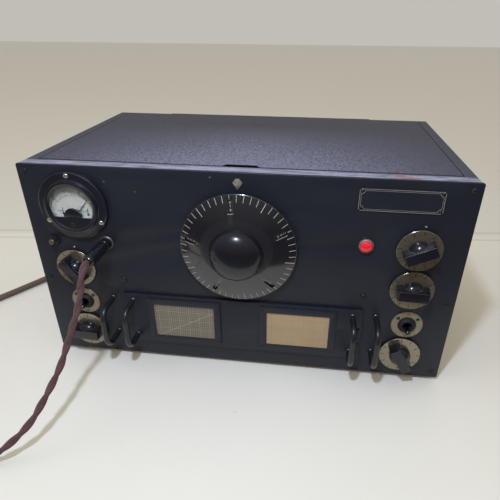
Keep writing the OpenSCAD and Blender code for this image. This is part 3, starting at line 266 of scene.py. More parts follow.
def settle(piece, body, finish, slot, *nodes, angle=35):
    """Gives a piece its finish, its body and the nodes that it stands for. Its slot is not used.

    A piece whose parts already have their finishes comes with None and keeps them.
    """
    take(piece)
    bpy.ops.object.transform_apply(location=True, rotation=True, scale=True)
    if angle:
        bpy.ops.object.shade_smooth_by_angle(angle=radians(angle))
    if finish:
        coat(piece, finish)
    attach(piece, body)
    if nodes:
        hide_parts(*nodes)
    print(f"{piece.name}: {len(piece.data.polygons)} faces on {body}")
    return piece


# %% [markdown]
# ## Building materials from nodes
# Each finish is a small net of nodes. `put` adds one node and wires its inputs, so that a finish reads
# like a recipe. Patterns that several finishes share are node groups, made once.

# %% Node helpers
def feed(tree, node, inputs):
    """Fills a node's inputs. Each value is a number, a colour or the output of another node."""
    for key, value in inputs.items():
        if isinstance(value, bpy.types.NodeSocket):
            tree.links.new(value, node.inputs[key])
        else:
            node.inputs[key].default_value = value
    return node


def put(tree, kind, inputs=None, **settings):
    """Adds a node with its settings and its inputs."""
    node = tree.nodes.new("ShaderNode" + kind)
    for key, value in settings.items():
        setattr(node, key, value)
    return feed(tree, node, inputs or {})


def new_group(name, inputs, *outputs):
    """A node group whose inputs and outputs are all plain numbers."""
    group = bpy.data.node_groups.new(name, "ShaderNodeTree")
    for label, value in inputs.items():
        group.interface.new_socket(label, in_out="INPUT", socket_type="NodeSocketFloat").default_value = value
    for label in outputs:
        group.interface.new_socket(label, in_out="OUTPUT", socket_type="NodeSocketFloat")
    entry = group.nodes.new("NodeGroupInput").outputs
    leave = group.nodes.new("NodeGroupOutput").inputs
    return group, entry, leave


def use(tree, group, inputs):
    return put(tree, "Group", inputs, node_tree=group).outputs


def new_material(name):
    """A material with its shader and its output already joined."""
    material = bpy.data.materials.new(name)
    material.use_nodes = True
    tree = material.node_tree
    tree.nodes.clear()
    shader = put(tree, "BsdfPrincipled")
    output = tree.nodes.new("ShaderNodeOutputMaterial")
    tree.links.new(shader.outputs["BSDF"], output.inputs["Surface"])
    return material, tree, shader


def mix(tree, share, a, b):
    """Mixes two colours by a share that changes over the surface."""
    first, second, result = 6, 7, 2     # the places of the colours among the node's sockets
    return put(tree, "Mix", {0: share, first: a, second: b}, data_type="RGBA").outputs[result]


def maths(tree, what, a, b=0.0):
    return put(tree, "Math", {0: a, 1: b}, operation=what).outputs[0]


def times(tree, a, b):
    return maths(tree, "MULTIPLY", a, b)


def plus(tree, a, b):
    return maths(tree, "ADD", a, b)


def minus(tree, a, b):
    return maths(tree, "SUBTRACT", a, b)


def larger(tree, a, b):
    return maths(tree, "MAXIMUM", a, b)


def size_of(tree, a):
    return maths(tree, "ABSOLUTE", a)


def spread(tree, value, low, high, to_low=0.0, to_high=1.0):
    """Maps a value from one range to another, and clamps it."""
    return put(tree, "MapRange", {"Value": value, "From Min": low, "From Max": high,
                                  "To Min": to_low, "To Max": to_high}).outputs["Result"]


def here(tree):
    """The object's own coordinates."""
    return put(tree, "TexCoord").outputs["Object"]


def axes(tree, vector):
    """The X, Y and Z of a vector."""
    return put(tree, "SeparateXYZ", {0: vector}).outputs


def vector_maths(tree, what, a, b, output="Vector"):
    return put(tree, "VectorMath", {0: a, 1: b}, operation=what).outputs[output]


def noisy(tree, at, scale, detail, roughness=0.5, distortion=0.0):
    return put(tree, "TexNoise", {"Vector": at, "Scale": scale, "Detail": detail, "Roughness": roughness,
                                  "Distortion": distortion}).outputs["Fac"]


def bumped(tree, height, strength, distance):
    """A normal that follows a height; the distance is in metres."""
    return put(tree, "Bump", {"Height": height, "Strength": strength, "Distance": distance}).outputs["Normal"]


def rgb(r, g, b):
    return (r, g, b, 1)


# %% [markdown]
# ## Shared patterns
# Old enamel is never even. A fine grain gives the orange peel of sprayed paint, clouds of handling make
# the gloss wander, and paint is rubbed thin where an edge sticks out. The edge mask compares the true
# normal with a rounded one: they differ only near an edge.

# %% Node groups for grain, clouds and rubbed edges
def build_grain():
    """Fine bumps: a height for a Bump node, in one size."""
    group, entry, leave = new_group("Fine grain", {"Size mm": 1.0}, "Height")
    rate = maths(group, "DIVIDE", 1 / MM, entry["Size mm"])
    group.links.new(noisy(group, here(group), rate, 3.0, 0.55), leave["Height"])
    return group


def build_clouds():
    """Slow clouds: a mask between 0 and 1, with its threshold and softness."""
    group, entry, leave = new_group("Slow clouds", {"Size mm": 60.0, "Level": 0.5, "Softness": 0.2}, "Mask")
    rate = maths(group, "DIVIDE", 1 / MM, entry["Size mm"])
    noise = noisy(group, here(group), rate, 6.0, 0.6, 0.4)
    low, high = [way(group, entry["Level"], entry["Softness"]) for way in (minus, plus)]
    group.links.new(spread(group, noise, low, high), leave["Mask"])
    return group


def build_edge():
    """A mask of the edges that stick out, broken up by noise so that it looks rubbed."""
    group, entry, leave = new_group("Rubbed edge", {"Width mm": 0.8, "Amount": 0.5}, "Mask")
    true = put(group, "NewGeometry").outputs["Normal"]
    soft = put(group, "Bevel", {"Radius": times(group, entry["Width mm"], MM)}, samples=4).outputs["Normal"]
    edge = spread(group, vector_maths(group, "DOT_PRODUCT", true, soft, "Value"), 0.995, 0.93)
    patch_mm = 9
    broken = plus(group, noisy(group, here(group), 1 / (patch_mm * MM), 5.0, 0.7), entry["Amount"])
    group.links.new(times(group, edge, spread(group, broken, 0.95, 1.15)), leave["Mask"])
    return group


grain, clouds, rubbed = build_grain(), build_clouds(), build_edge()
print("node groups:", [g.name for g in bpy.data.node_groups])


def cloudy(tree, size_mm, level, softness):
    return use(tree, clouds, {"Size mm": size_mm, "Level": level, "Softness": softness})["Mask"]


def worn_edge(tree, width_mm, amount):
    return use(tree, rubbed, {"Width mm": width_mm, "Amount": amount})["Mask"]


# %% [markdown]
# ## The finishes
# A painted finish has a dark base, a grain bump, a gloss that wanders with the clouds and a lighter
# colour where the edge is rubbed. One function holds that recipe, and each paint gives its own numbers.

# %% How a paint is made
def chipped(tree, chips):
    """A mask of chips: each is a place in millimetres and a size, with a ragged rim."""
    at = here(tree)
    ragged = noisy(tree, at, 900.0, 4.0)
    mask = 0.0
    for x, y, z, r in chips:
        far = vector_maths(tree, "DISTANCE", at, scaled(x, y, z), "Value")
        reach = plus(tree, maths(tree, "DIVIDE", far, r * MM), times(tree, ragged, 1.6))
        mask = larger(tree, mask, spread(tree, reach, 1.9, 1.6))
    return mask


def painted(name, base, worn, roughness, grain_mm=0.5, bump=0.05, edge_mm=0.3, edge_amount=0.3,
            metal=0.0, coat=0.0, coat_roughness=0.1, level=0.5, wander=0.12, chips=()):
    """Old paint, moulding or plated metal. Worn is the colour that shows where edges are rubbed."""
    material, tree, shader = new_material(name)
    cloud = cloudy(tree, 85.0, 0.5, 0.28)
    fine = use(tree, grain, {"Size mm": grain_mm})
    edge = worn_edge(tree, edge_mm, edge_amount)
    dust_and_sheen = rgb(*(v * 1.5 + 0.003 for v in base))
    body = mix(tree, times(tree, cloud, 0.5), rgb(*base), dust_and_sheen)
    if chips:
        edge = larger(tree, edge, chipped(tree, chips))
    feed(tree, shader, {
        "Base Color": mix(tree, edge, body, rgb(*worn)), "Metallic": metal, "Specular IOR Level": level,
        "Roughness": spread(tree, cloud, 0.0, 1.0, roughness - wander / 2, roughness + wander / 2),
        "Coat Weight": coat, "Coat Roughness": coat_roughness,
        "Normal": bumped(tree, fine["Height"], bump, 0.0004)})
    return material


cabinet_paint = painted("cabinet paint", (0.020, 0.022, 0.040), (0.13, 0.12, 0.125), 0.46, grain_mm=1.5,
                        bump=0.9, edge_mm=0.7, edge_amount=0.42)


# %% [markdown]
# ### The crackled top
# The lid and the frame round it have a coarse crackle, whose flecks carry a painted sheen that is
# strongest towards the front middle. The frame's front strip is rubbed bright along its length, and a
# few chips at the right show red primer. The gap between lid and frame, and every face that doesn't
# look up or lies below the top, is painted black as painted shade.

# %% The crackled top
def crackled(name, base, dust_and_sheen, strip, front_strip, top):
    """Crackle enamel with a painted sheen at the front middle and a rubbed strip along the front edge."""
    material, tree, shader = new_material(name)
    at = here(tree)
    spot = axes(tree, at)
    crackle = noisy(tree, at, 430.0, 4.0, 0.7)
    # Painted sheen: the lamp's broad highlight on the top is painted as lighter flecks towards the front
    # middle.
    front = spread(tree, spot["Y"], 0.08, -0.11)
    middle = spread(tree, size_of(tree, spot["X"]), 0.21, 0.02)
    share = times(tree, front, plus(tree, times(tree, middle, 0.75), 0.1))
    painted_sheen = times(tree, share, spread(tree, crackle, 0.36, 0.64, 0.2, 2.3))
    body = mix(tree, painted_sheen, base, dust_and_sheen)
    streak = noisy(tree, vector_maths(tree, "MULTIPLY", at, (0.08, 1, 1)), 620.0, 4.0)
    rubbed_ = times(tree, spread(tree, spot["Y"], front_strip + 0.004, front_strip),
                    spread(tree, streak, 0.38, 0.60, 0.15, 1.0))
    body = mix(tree, rubbed_, body, strip)
    bare = chipped(tree, [(148, -107, top / MM, 5), (154, -112, top / MM, 6), (161, -113, top / MM, 4)])
    body = mix(tree, times(tree, bare, 0.8), body, rgb(0.22, 0.105, 0.095))
    # Painted shade: faces that don't look up, faces below the top and a thin line at the lid's front edge go
    # near-black for the shade in the gap between lid and frame.
    gap_shade = spread(tree, axes(tree, put(tree, "NewGeometry").outputs["True Normal"])["Z"], 0.75, 0.4)
    gap_shade = larger(tree, gap_shade, spread(tree, spot["Z"], top - 0.0005, top - 0.0009))
    off = size_of(tree, minus(tree, spot["Y"], LID[0][1]))
    line = times(tree, spread(tree, off, 0.0013, 0.0008),
                 spread(tree, size_of(tree, spot["X"]), LID[1][0] + 0.001, LID[1][0]))
    gap_shade = larger(tree, gap_shade, line)
    feed(tree, shader, {"Base Color": mix(tree, gap_shade, body, rgb(0.002, 0.002, 0.004)), "Roughness": 0.48,
                        "Normal": bumped(tree, crackle, 1.0, 0.0009)})
    return material


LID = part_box("lid")
NO_STRIP = -1.0                     # a strip this far in front never shows
# For each paint the second colour is the painted sheen of the flecks, and the third the rubbed strip.
lid_paint = crackled("lid paint", rgb(0.016, 0.018, 0.034), rgb(0.15, 0.155, 0.235),
                     rgb(0.12, 0.12, 0.18), NO_STRIP, LID[1][2])
strip_paint = crackled("rubbed strip paint", rgb(0.021, 0.023, 0.040), rgb(0.10, 0.10, 0.15),
                       rgb(0.32, 0.325, 0.45), -0.105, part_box("cabinet_top_frame")[1][2])
print("the lid's front edge lies at y =", round(LID[0][1] / MM, 2), "mm")

# %% Paints and mouldings
panel_paint = painted("panel paint", (0.0095, 0.0112, 0.0190), (0.10, 0.09, 0.085), 0.46, grain_mm=1.1,
                      bump=0.32, edge_mm=0.6, edge_amount=0.42, level=0.38,
                      chips=[(-131, FACE, 214, 1.0), (-26, FACE, 223, 0.9), (-101, FACE, 205, 0.8)])
black_steel = painted("black enamelled steel", (0.010, 0.010, 0.013), (0.14, 0.12, 0.10), 0.3,
                      grain_mm=0.6, bump=0.08, edge_mm=0.4)
bakelite = painted("black bakelite", (0.0075, 0.0075, 0.009), (0.03, 0.028, 0.028), 0.24, bump=0.04,
                   edge_mm=0.4, coat=0.5, coat_roughness=0.06)
knob_black = painted("knob bakelite", (0.006, 0.0062, 0.011), (0.24, 0.235, 0.23), 0.26, bump=0.02,
                     edge_amount=0.9, coat=0.3, coat_roughness=0.05, level=0.4)
dome_black = painted("dial knob bakelite", (0.006, 0.0065, 0.010), (0.03, 0.03, 0.03), 0.28, grain_mm=0.7,
                     bump=0.03, edge_mm=0.5, edge_amount=0.5, coat=0.4, coat_roughness=0.08, level=0.35,
                     wander=0.16)
matt_black = painted("matt black", (0.012, 0.011, 0.014), (0.06, 0.05, 0.045), 0.62, bump=0.3,
                     edge_amount=0.4, level=0.3)
ring_ivory = painted("stained ivory", (0.20, 0.172, 0.122), (0.12, 0.08, 0.05), 0.36, grain_mm=0.7,
                     bump=0.06, edge_mm=1.6, edge_amount=0.6, metal=0.3)
meter_black = painted("meter bakelite", (0.006, 0.0068, 0.0125), (0.06, 0.058, 0.065), 0.3, bump=0.03,
                      edge_mm=0.4, edge_amount=0.5, coat=0.4, coat_roughness=0.08)


# %% [markdown]
# ### The dial's lacquer
# The dial is polished outside, where nobody touches it, and dull round the knob.

# %% The dial's lacquer
def dial_finish():
    """Lacquer that is polished outside and dulled by fingers round the knob."""
    material, tree, shader = new_material("dial black")
    middle_z, squeeze = 0.157, 1.15
    flat = vector_maths(tree, "MULTIPLY", here(tree), (1, 0, squeeze))
    far = vector_maths(tree, "DISTANCE", flat, (0, 0, middle_z * squeeze), "Value")
    polished = spread(tree, far, 0.0335, 0.038)
    edge = worn_edge(tree, 0.35, 0.6)
    cloud = cloudy(tree, 40.0, 0.5, 0.3)
    base = mix(tree, cloud, rgb(0.0075, 0.008, 0.0125), rgb(0.0115, 0.0105, 0.013))
    feed(tree, shader, {"Base Color": mix(tree, edge, base, rgb(0.26, 0.25, 0.24)),
                        "Roughness": spread(tree, polished, 0, 1, 0.45, 0.2),
                        "Coat Weight": times(tree, polished, 0.85), "Coat Roughness": 0.06})
    return material


dial_black = dial_finish()
print("lacquer:", dial_black.name)

# %% Metals, boards, rubber and card
nickel = painted("worn nickel", (0.30, 0.275, 0.235), (0.5, 0.47, 0.41), 0.3, grain_mm=0.4,
                 edge_amount=0.5, metal=1.0)
bright_nickel = painted("bright nickel", (0.50, 0.47, 0.42), (0.75, 0.72, 0.66), 0.22, grain_mm=0.4,
                        bump=0.04, edge_amount=0.6, metal=0.8)
dark_lever = painted("darkened nickel", (0.10, 0.095, 0.09), (0.34, 0.32, 0.29), 0.26, grain_mm=0.4,
                     edge_amount=0.5, metal=1.0)
dull_nickel = painted("dull nickel", (0.13, 0.115, 0.10), (0.34, 0.31, 0.27), 0.45, bump=0.08,
                      edge_mm=0.4, edge_amount=0.45, metal=0.75)
bare_steel = painted("bare steel", (0.28, 0.275, 0.27), (0.5, 0.49, 0.47), 0.3, grain_mm=0.4,
                     edge_amount=0.5, metal=1.0)
scale_silver = painted("silvered scale", (0.265, 0.228, 0.168), (0.60, 0.52, 0.38), 0.24, grain_mm=0.7,
                       edge_mm=0.5, edge_amount=0.5, metal=0.82)
aluminium = painted("etched aluminium", (0.46, 0.46, 0.455), (0.62, 0.62, 0.61), 0.42, bump=0.15,
                    edge_mm=0.5, edge_amount=0.4, metal=0.9)
cast_metal = painted("cast metal", (0.32, 0.315, 0.305), (0.5, 0.5, 0.49), 0.5, grain_mm=1.4, bump=0.6,
                     edge_mm=0.6, edge_amount=0.4, metal=0.8)
phenolic = painted("phenolic board", (0.09, 0.035, 0.014), (0.17, 0.08, 0.035), 0.45, grain_mm=0.8,
                   bump=0.12, edge_mm=0.5, edge_amount=0.4)
tube_base = painted("tube base", (0.028, 0.015, 0.010), (0.07, 0.045, 0.03), 0.3, grain_mm=0.6,
                    edge_mm=0.4)
rubber = painted("black rubber", (0.012, 0.012, 0.012), (0.03, 0.029, 0.028), 0.72, bump=0.3, edge_mm=0.5,
                 level=0.3)
card_white = painted("aged white card", (0.48, 0.455, 0.37), (0.6, 0.55, 0.45), 0.7, grain_mm=0.3,
                     bump=0.1, edge_mm=0.5, edge_amount=0.2, level=0.3)


# %% Inks
def plain_ink(name, colour, roughness=0.55):
    """Ink and filled marks, a little uneven so that they don't look printed yesterday."""
    material, tree, shader = new_material(name)
    cloud = cloudy(tree, 7.0, 0.5, 0.3)
    faded = [v * 0.72 for v in colour[:3]] + [1]
    feed(tree, shader, {"Base Color": mix(tree, cloud, faded, colour), "Roughness": roughness})
    return material


# The old white filling also serves for the painted highlights on the dial's window edges.
mark_tick_and_highlight = plain_ink("old white filling and painted highlights", rgb(0.48, 0.46, 0.40))
mark_grey = plain_ink("grey white numbers", rgb(0.42, 0.41, 0.385))
mark_black = plain_ink("black ink", rgb(0.012, 0.011, 0.010))
print("finishes:", len(bpy.data.materials))


# %% [markdown]
# ## Two leads
# A free cord is a fixed length of something flexible. Its centreline is the same route that the
# construction follows: out of its exit, down to the table, along it, and into a neat coil beside the
# cabinet. A spline through those points gives the smooth line, and the tube is swept along it.

# %% The routes
def unit(v):
    return v / v.length


def wound(centre, start_angle, r0, loops, d):
    """The turns of a coil that winds inwards, steps up once and winds outwards on top."""
    points = []
    for i in range(loops * 24 + 1):
        u = i / 24
        angle = radians(start_angle - 360 * u)
        r = r0 - (d + 0.6) * min(u, loops - u)
        climb = min(max((u - loops / 2 + 0.25) / 0.5, 0), 1)
        points.append(Vector((centre[0] + r * cos(angle), centre[1] + r * sin(angle),
                              d / 2 + (d + 0.6) * climb)))
    return points


def coil_route(centre, start_angle, r0, loops, d, z):
    turns = wound(centre, start_angle, r0, loops, d)
    along = Vector((sin(radians(start_angle)), -cos(radians(start_angle)), 0))
    tail = []
    for s in (3, 4.5, 6, 7):
        p = turns[-1] + along * s * d
        p.z = turns[-1].z if s < 4 else (turns[-1].z + z) / 2 if s < 5 else z
        tail.append(p)
    return [turns[0] - along * d] + turns + tail, along


phone_free = [(-139, -162, 148), (-139, -168, 147.5), (-139.5, -174, 142), (-140.5, -178, 133),
              (-142, -182, 121), (-145.5, -188, 106), (-150, -194, 92), (-153, -204, 78),
              (-155, -216, 66), (-158, -229, 56), (-162, -243, 46), (-168, -256, 35),
              (-178, -267, 25), (-192, -276, 15), (-208, -281, 8), (-225, -284, 4),
              (-243, -286, 3.5), (-262, -286, 3.5), (-281, -286, 3.5), (-295, -286, 3.5)]
power_free = [(-165, 174.5, 40), (-165, 186, 40), (-166, 197, 35), (-170, 208, 25), (-178, 215, 14),
              (-190, 217, 6), (-205, 213, 4), (-218, 203, 4), (-230, 187, 4), (-241, 168, 4),
              (-252, 148, 4), (-264, 126, 4), (-277, 103, 4), (-290, 80, 4), (-303, 58, 4),
              (-315, 38, 4), (-326, 20, 4), (-337, 2, 4), (-348, -16, 4), (-359, -33, 4),
              (-370, -49, 4), (-380, -64, 4)]
phone_coil, phone_along = coil_route((-310, -240), -90, 46, 5, 7, 7)
power_coil, power_along = coil_route((-429, -58), -33, 48, 3, 8, 15)
phone_route = [Vector(p) for p in phone_free] + phone_coil[1:]
power_route = [Vector(p) for p in power_free] + power_coil[1:]
print("points of the two routes:", len(phone_route), len(power_route))


# %% A smooth line through the points
def smooth_line(points, step):
    """Walks a centripetal spline through the points in equal steps."""
    line = []
    for i in range(len(points) - 1):
        p0 = points[max(i - 1, 0)]
        p1, p2 = points[i], points[i + 1]
        p3 = points[min(i + 2, len(points) - 1)]
        t1 = (p2 - p0) / max((p2 - p1).length + (p1 - p0).length, 1e-9) * (p2 - p1).length
        t2 = (p3 - p1) / max((p3 - p2).length + (p2 - p1).length, 1e-9) * (p2 - p1).length
        for k in range(8):
            t = k / 8
            line.append(p1 * (2 * t**3 - 3 * t**2 + 1) + t1 * (t**3 - 2 * t**2 + t)
                        + p2 * (3 * t**2 - 2 * t**3) + t2 * (t**3 - t**2))
    line.append(points[-1])
    even, carry = [line[0]], 0.0
    for a, b in zip(line, line[1:]):
        run = (b - a).length
        while carry + run >= step:
            a = a.lerp(b, (step - carry) / run)
            run, carry = (b - a).length, 0.0
            even.append(a)
        carry += run
    even.append(line[-1])
    return even


def line_length(line):
    return sum((b - a).length for a, b in zip(line, line[1:]))


# %% [markdown]
# ### Sweeping the tubes
# The power cable is round rubber. The headphone lead is a pair of cloth-covered cords twisted together,
# so its section is a figure of eight that turns once every 38 mm. Both get their own UV map, in which
# U runs round the section and V along the lead in millimetres, and the braid of the cloth follows it.

# %% Sweep a section along a line
def swept(name, line, section, pitch=0.0):
    """section(angle) gives the radius. pitch is the length of one twist."""
    sides = 20
    mesh = bmesh.new()
    rings, normal, walked = [], Vector((0.3, 0.2, 1)), 0.0
    lengths = []
    for i, p in enumerate(line):
        ahead = unit(line[min(i + 1, len(line) - 1)] - line[max(i - 1, 0)])
        normal = unit(normal - ahead * normal.dot(ahead))
        side = ahead.cross(normal)
        walked += (p - line[i - 1]).length if i else 0
        lengths.append(walked)
        turn = 2 * pi * walked / pitch if pitch else 0
        ring = []
        for k in range(sides):
            a = 2 * pi * k / sides
            r = section(a)
            spot = p + (normal * cos(a + turn) + side * sin(a + turn)) * r
            ring.append(mesh.verts.new(spot * MM))
        rings.append(ring)
    layer = mesh.loops.layers.uv.new("UVMap")
    for i in range(len(rings) - 1):
        for k in range(sides):
            j = (k + 1) % sides
            face = mesh.faces.new((rings[i][k], rings[i][j], rings[i + 1][j], rings[i + 1][k]))
            corners = ((k, i), (k + 1, i), (k + 1, i + 1), (k, i + 1))
            for loop, (u, v) in zip(face.loops, corners):
                loop[layer].uv = (u / sides, lengths[v])
    for ring, at in ((rings[0], line[0]), (rings[-1], line[-1])):
        hub = mesh.verts.new(at * MM)
        for k in range(sides):
            mesh.faces.new((ring[(k + 1) % sides], ring[k], hub))
    bmesh.ops.recalc_face_normals(mesh, faces=mesh.faces)
    data = bpy.data.meshes.new(name)
    mesh.to_mesh(data)
    mesh.free()
    return link(bpy.data.objects.new(name, data))


def two_strands(angle):
    strand, apart = 2.35, 1.1
    c, s = abs(cos(angle)) * apart, sin(angle) * apart
    return c + math.sqrt(strand**2 - s**2)


phone_line = smooth_line(phone_route, 1.4)
power_line = smooth_line(power_route, 3.0)
phone_lead = swept("headphone_lead", phone_line, two_strands, pitch=38)
power_cable = swept("power_lead", power_line, lambda angle: 4.0)
print("headphone lead:", round(line_length(phone_line)), "mm")
print("power cable:", round(line_length(power_line)), "mm")


# %% [markdown]
# ### Cloth and rubber for the leads
# The braid is two sets of threads that cross. In the UV map they are two sloping waves, and the higher
# of the two gives the bump. A fine noise picks out the lighter threads. The rubber is brown and dusty.

# %% Lead finishes
def build_braid():
    group, entry, leave = new_group("Braid", {"Round": 10.0, "Pitch mm": 1.6}, "Height", "Fleck")
    uv = axes(group, put(group, "UVMap").outputs["UV"])
    around = times(group, uv["X"], entry["Round"])
    along = maths(group, "DIVIDE", uv["Y"], entry["Pitch mm"])
    waves = [size_of(group, maths(group, "SINE", times(group, way(group, around, along), 2 * pi)))
             for way in (plus, minus)]
    group.links.new(larger(group, *waves), leave["Height"])
    group.links.new(spread(group, noisy(group, here(group), 900.0, 2.0), 0.35, 0.65), leave["Fleck"])
    return group


braid = build_braid()


def cloth_finish():
    material, tree, shader = new_material("maroon lead cloth")
    weave = use(tree, braid, {"Round": 12.0, "Pitch mm": 1.7})
    cloud = cloudy(tree, 22.0, 0.5, 0.25)
    dark = mix(tree, weave["Fleck"], rgb(0.055, 0.021, 0.026), rgb(0.110, 0.050, 0.058))
    feed(tree, shader, {
        "Base Color": mix(tree, times(tree, cloud, 0.35), dark, rgb(0.13, 0.082, 0.084)),
        "Roughness": 0.85, "Sheen Weight": 0.12, "Sheen Roughness": 0.5, "Specular IOR Level": 0.25,
        "Normal": bumped(tree, weave["Height"], 0.6, 0.0003)})
    return material


lead_cloth = cloth_finish()
cable_rubber = painted("brown cable rubber", (0.115, 0.083, 0.060), (0.17, 0.13, 0.10), 0.62,
                       grain_mm=0.7, bump=0.25, edge_amount=0.2, level=0.35)


# %% [markdown]
# ### The ends of the leads
# The headphone lead ends in a small in-line connector with two pins, and the power cable in a four-pin
# plug with a ribbed grip. Each is turned once round its own axis, laid along the end of its lead, and
# its pins are copied round. Cord and ends then go on the cabinet together, in place of their nodes.

# %% Connector and power plug
def laid_along(piece, line, along):
    """Lays a piece whose axis is Z along the last stretch of a lead."""
    facing = along.to_track_quat("Z", "Y").to_matrix().to_4x4()
    return place(piece, Matrix.Translation(line[-1] * MM) @ facing)


def round_pin(r, z0, z1):
    return turned("pin", [(0, z0), (r, z0), (r, z1 - r * 0.6), (r * 0.55, z1), (0, z1)], 16)


def ribbed_body(name, profile, ribs, depth, z0, z1, steps):
    """A turned body whose grip is pushed in between its ribs."""
    piece = edit(turned(name, profile, steps))
    choose(lambda m, n: z0 < m.z < z1 and n.z**2 < 0.1
           and int((math.atan2(m.y, m.x) / (2 * pi) + 1) * ribs * 2) % 2 == 0)
    bpy.ops.mesh.inset(thickness=0.15 * MM, depth=-depth * MM, use_individual=False)
    bpy.ops.object.mode_set(mode="OBJECT")
    return piece


connector = ribbed_body("lead_connector", [(0, 0), (3.7, 0), (4.2, 0.6), (6, 8), (7, 9), (7, 12), (6.6, 13),
                                           (6.6, 34), (7, 35), (7, 39.4), (6.4, 40), (0, 40)],
                        16, 0.35, 13, 34, 64)
pins = [shift(round_pin(1.2, 39, 48.8), s * 2.6, 0, 0) for s in (-1, 1)]
connector = laid_along(join([connector] + pins, "lead_connector"), phone_line, phone_along)
plug = ribbed_body("power_plug_body", [(0, 0), (4.6, 0), (5.4, 0.8), (12, 12), (15, 13), (15, 16), (14.4, 17),
                                       (14.4, 33), (15, 34), (15, 37.2), (14.2, 38), (0, 38)],
                   20, 0.6, 17, 33, 80)
pins = [shift(round_pin(2, 37, 50.8), 8 * cos(a), 8 * sin(a), 0)
        for a in (pi / 4, 3 * pi / 4, 5 * pi / 4, 7 * pi / 4)]
plug = laid_along(join([plug] + pins, "power_plug_body"), power_line, power_along)


def two_tone(piece, first, second, is_second):
    """Gives some faces of a joined piece a second finish."""
    coat(piece, first, second)
    for face in piece.data.polygons:
        face.material_index = int(is_second(face.center / MM))


two_tone(connector, bakelite, nickel, lambda c: (c - phone_line[-1]).dot(phone_along) > 40.05)
two_tone(plug, bakelite, nickel, lambda c: (c - power_line[-1]).dot(power_along) > 38.05)
settle(connector, "cabinet", None, "bakelite", "phone_connector")
settle(plug, "cabinet", None, "bakelite", "power_plug")
settle(phone_lead, "cabinet", lead_cloth, "lead_cloth", "phone_lead", "phone_lead_coil", angle=80)
settle(power_cable, "cabinet", cable_rubber, "cable_rubber", "power_cable", "power_cable_coil", angle=80)


# %% [markdown]
# ## Nodes that keep their shape
# Sheet metal, cans and the inner works already have their shape. Their meshes are loose triangles, so a
# Weld joins them first, and on most of them a small Bevel rounds the edges so that they catch the light.

# %% Dress the kept nodes
def dress(finish, bevel, *names):
    for name in names:
        node = coat(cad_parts[name], finish)
        weld = node.modifiers.new("Weld", "WELD")
        weld.merge_threshold = 0.002 * MM
        if bevel:
            edge = node.modifiers.new("Bevel", "BEVEL")
            edge.width, edge.segments, edge.limit_method = bevel * MM, 2, "ANGLE"
            edge.angle_limit = radians(30)
    print(finish.name, "on", len(names), "nodes")


dress(cabinet_paint, 0.35, "cabinet_sides", "cabinet_back", "cabinet_bottom", "lid_hinge")
dress(lid_paint, 0.35, "lid")
dress(strip_paint, 0.35, "cabinet_top_frame")
dress(rubber, 0.5, "rubber_feet", "cable_gland")
dress(aluminium, 0.5, "chassis", "coil_cans", "transformer_cans")
dress(aluminium, 0, "gang_frame", "condenser_rotor")
dress(cast_metal, 0.5, "worm_gearbox")
dress(phenolic, 0, "coil_bay", "aerial_posts")
dress(tube_base, 0.5, "tube_bases")
dress(matt_black, 0, "control_bodies")
dress(bare_steel, 0, "dial_shaft")
dress(dull_nickel, 0.2, "phone_jack")
dress(black_steel, 0.2, "meter_switch_bush")
dress(bakelite, 0, "number_ring")
dress(card_white, 0, "meter_card")


# %% [markdown]
# ## The front panel
# The panel is a steel plate with small round corners. Everything else is screwed to it or comes through
# it, so it is drilled as the real one is: the opening for the coil set, and a round hole for each fitting.

# %% Front panel
FITTINGS = {
    "dial": (0, 148), "meter": (-166, 184), "jack": (-139, 144), "switch": (-196, 144), "pilot": (124, 158),
    "left_mid": (-178, 112), "left_low": (-178, 30.5), "right_top": (174, 156.5), "right_mid": (174, 112),
    "right_low": (174, 30.5), "left_toggle": (-176, 69), "right_toggle": (176, 69),
}
PANEL_W, PANEL_H, PANEL_T = 438, 224.5, 3
COIL_UP, CHART_X = 52, 62.6         # the middle of the coil set, and how far each chart is to its side
NAMEPLATE = (150, 204.7)
CORNERS = [(sx, sy) for sx in (-1, 1) for sy in (-1, 1)]


def shifted(outline, x, y):
    return [(a + x, b + y) for a, b in outline]


def ring_outline(r, n=48):
    return arc(0, 0, r, 0, 360 - 360 / n, n - 1)


def drill(r, x, up, n=48):
    """A round cutter that goes right through a plate."""
    return plate("cutter", shifted(ring_outline(r, n), x, up), -9, 9)


def fitted(name, profile, steps, spot):
    """A turned piece that stands on the panel at the place of its fitting."""
    return stand(turned(name, profile, steps), *FITTINGS[spot])


def build_panel():
    panel = plate("panel", shifted(rounded(PANEL_W, PANEL_H, 2, 4), 0, PANEL_H / 2), -PANEL_T, 0)
    holes = {"dial": 8.1, "meter": 27.5, "jack": 5.6, "switch": 3.9, "pilot": 5.9,
             "left_toggle": 6.1, "right_toggle": 6.1}
    knob_hole = 4.85
    cutters = [plate("cutter", shifted(rounded(252, 56, 0.5), 0, COIL_UP), -9, 9)]
    cutters += [drill(holes.get(name, knob_hole), *spot) for name, spot in FITTINGS.items()]
    combine(panel, join(cutters, "cutters"))
    return stand(soften(panel, 0.55, 3), 0, 0)


settle(build_panel(), "cabinet", panel_paint, "panel_paint", "front_panel")


# %% [markdown]
# ## Screws
# Round-headed screws with a slot hold the panel, the meter, the nameplate and the toggle plates. Each
# head is turned, slotted and softened in its own size, and its slot points its own way. The six screws
# round the panel's edge are flatter and painted over.

# %% Screw heads
def screw_head(r, finish, x, up, proud, turn, height=0.48):
    head = turned("screw", [(0, -0.3), (r, -0.3), (r, 0.1 * r)] + dome(r, height * r, 0.1 * r, 6)[1:], 32)
    slot = plate("slot", rounded(2.4 * r, 0.3 * r, 0.02, 1), (height - 0.18) * r, 2 * r)
    soften(combine(head, slot), 0.06 * r, 1, 50)
    return stand(coat(head, finish), x, up, proud, turn)


def round_about(spot, r, angles):
    return [(spot[0] + r * cos(radians(a)), spot[1] + r * sin(radians(a))) for a in angles]


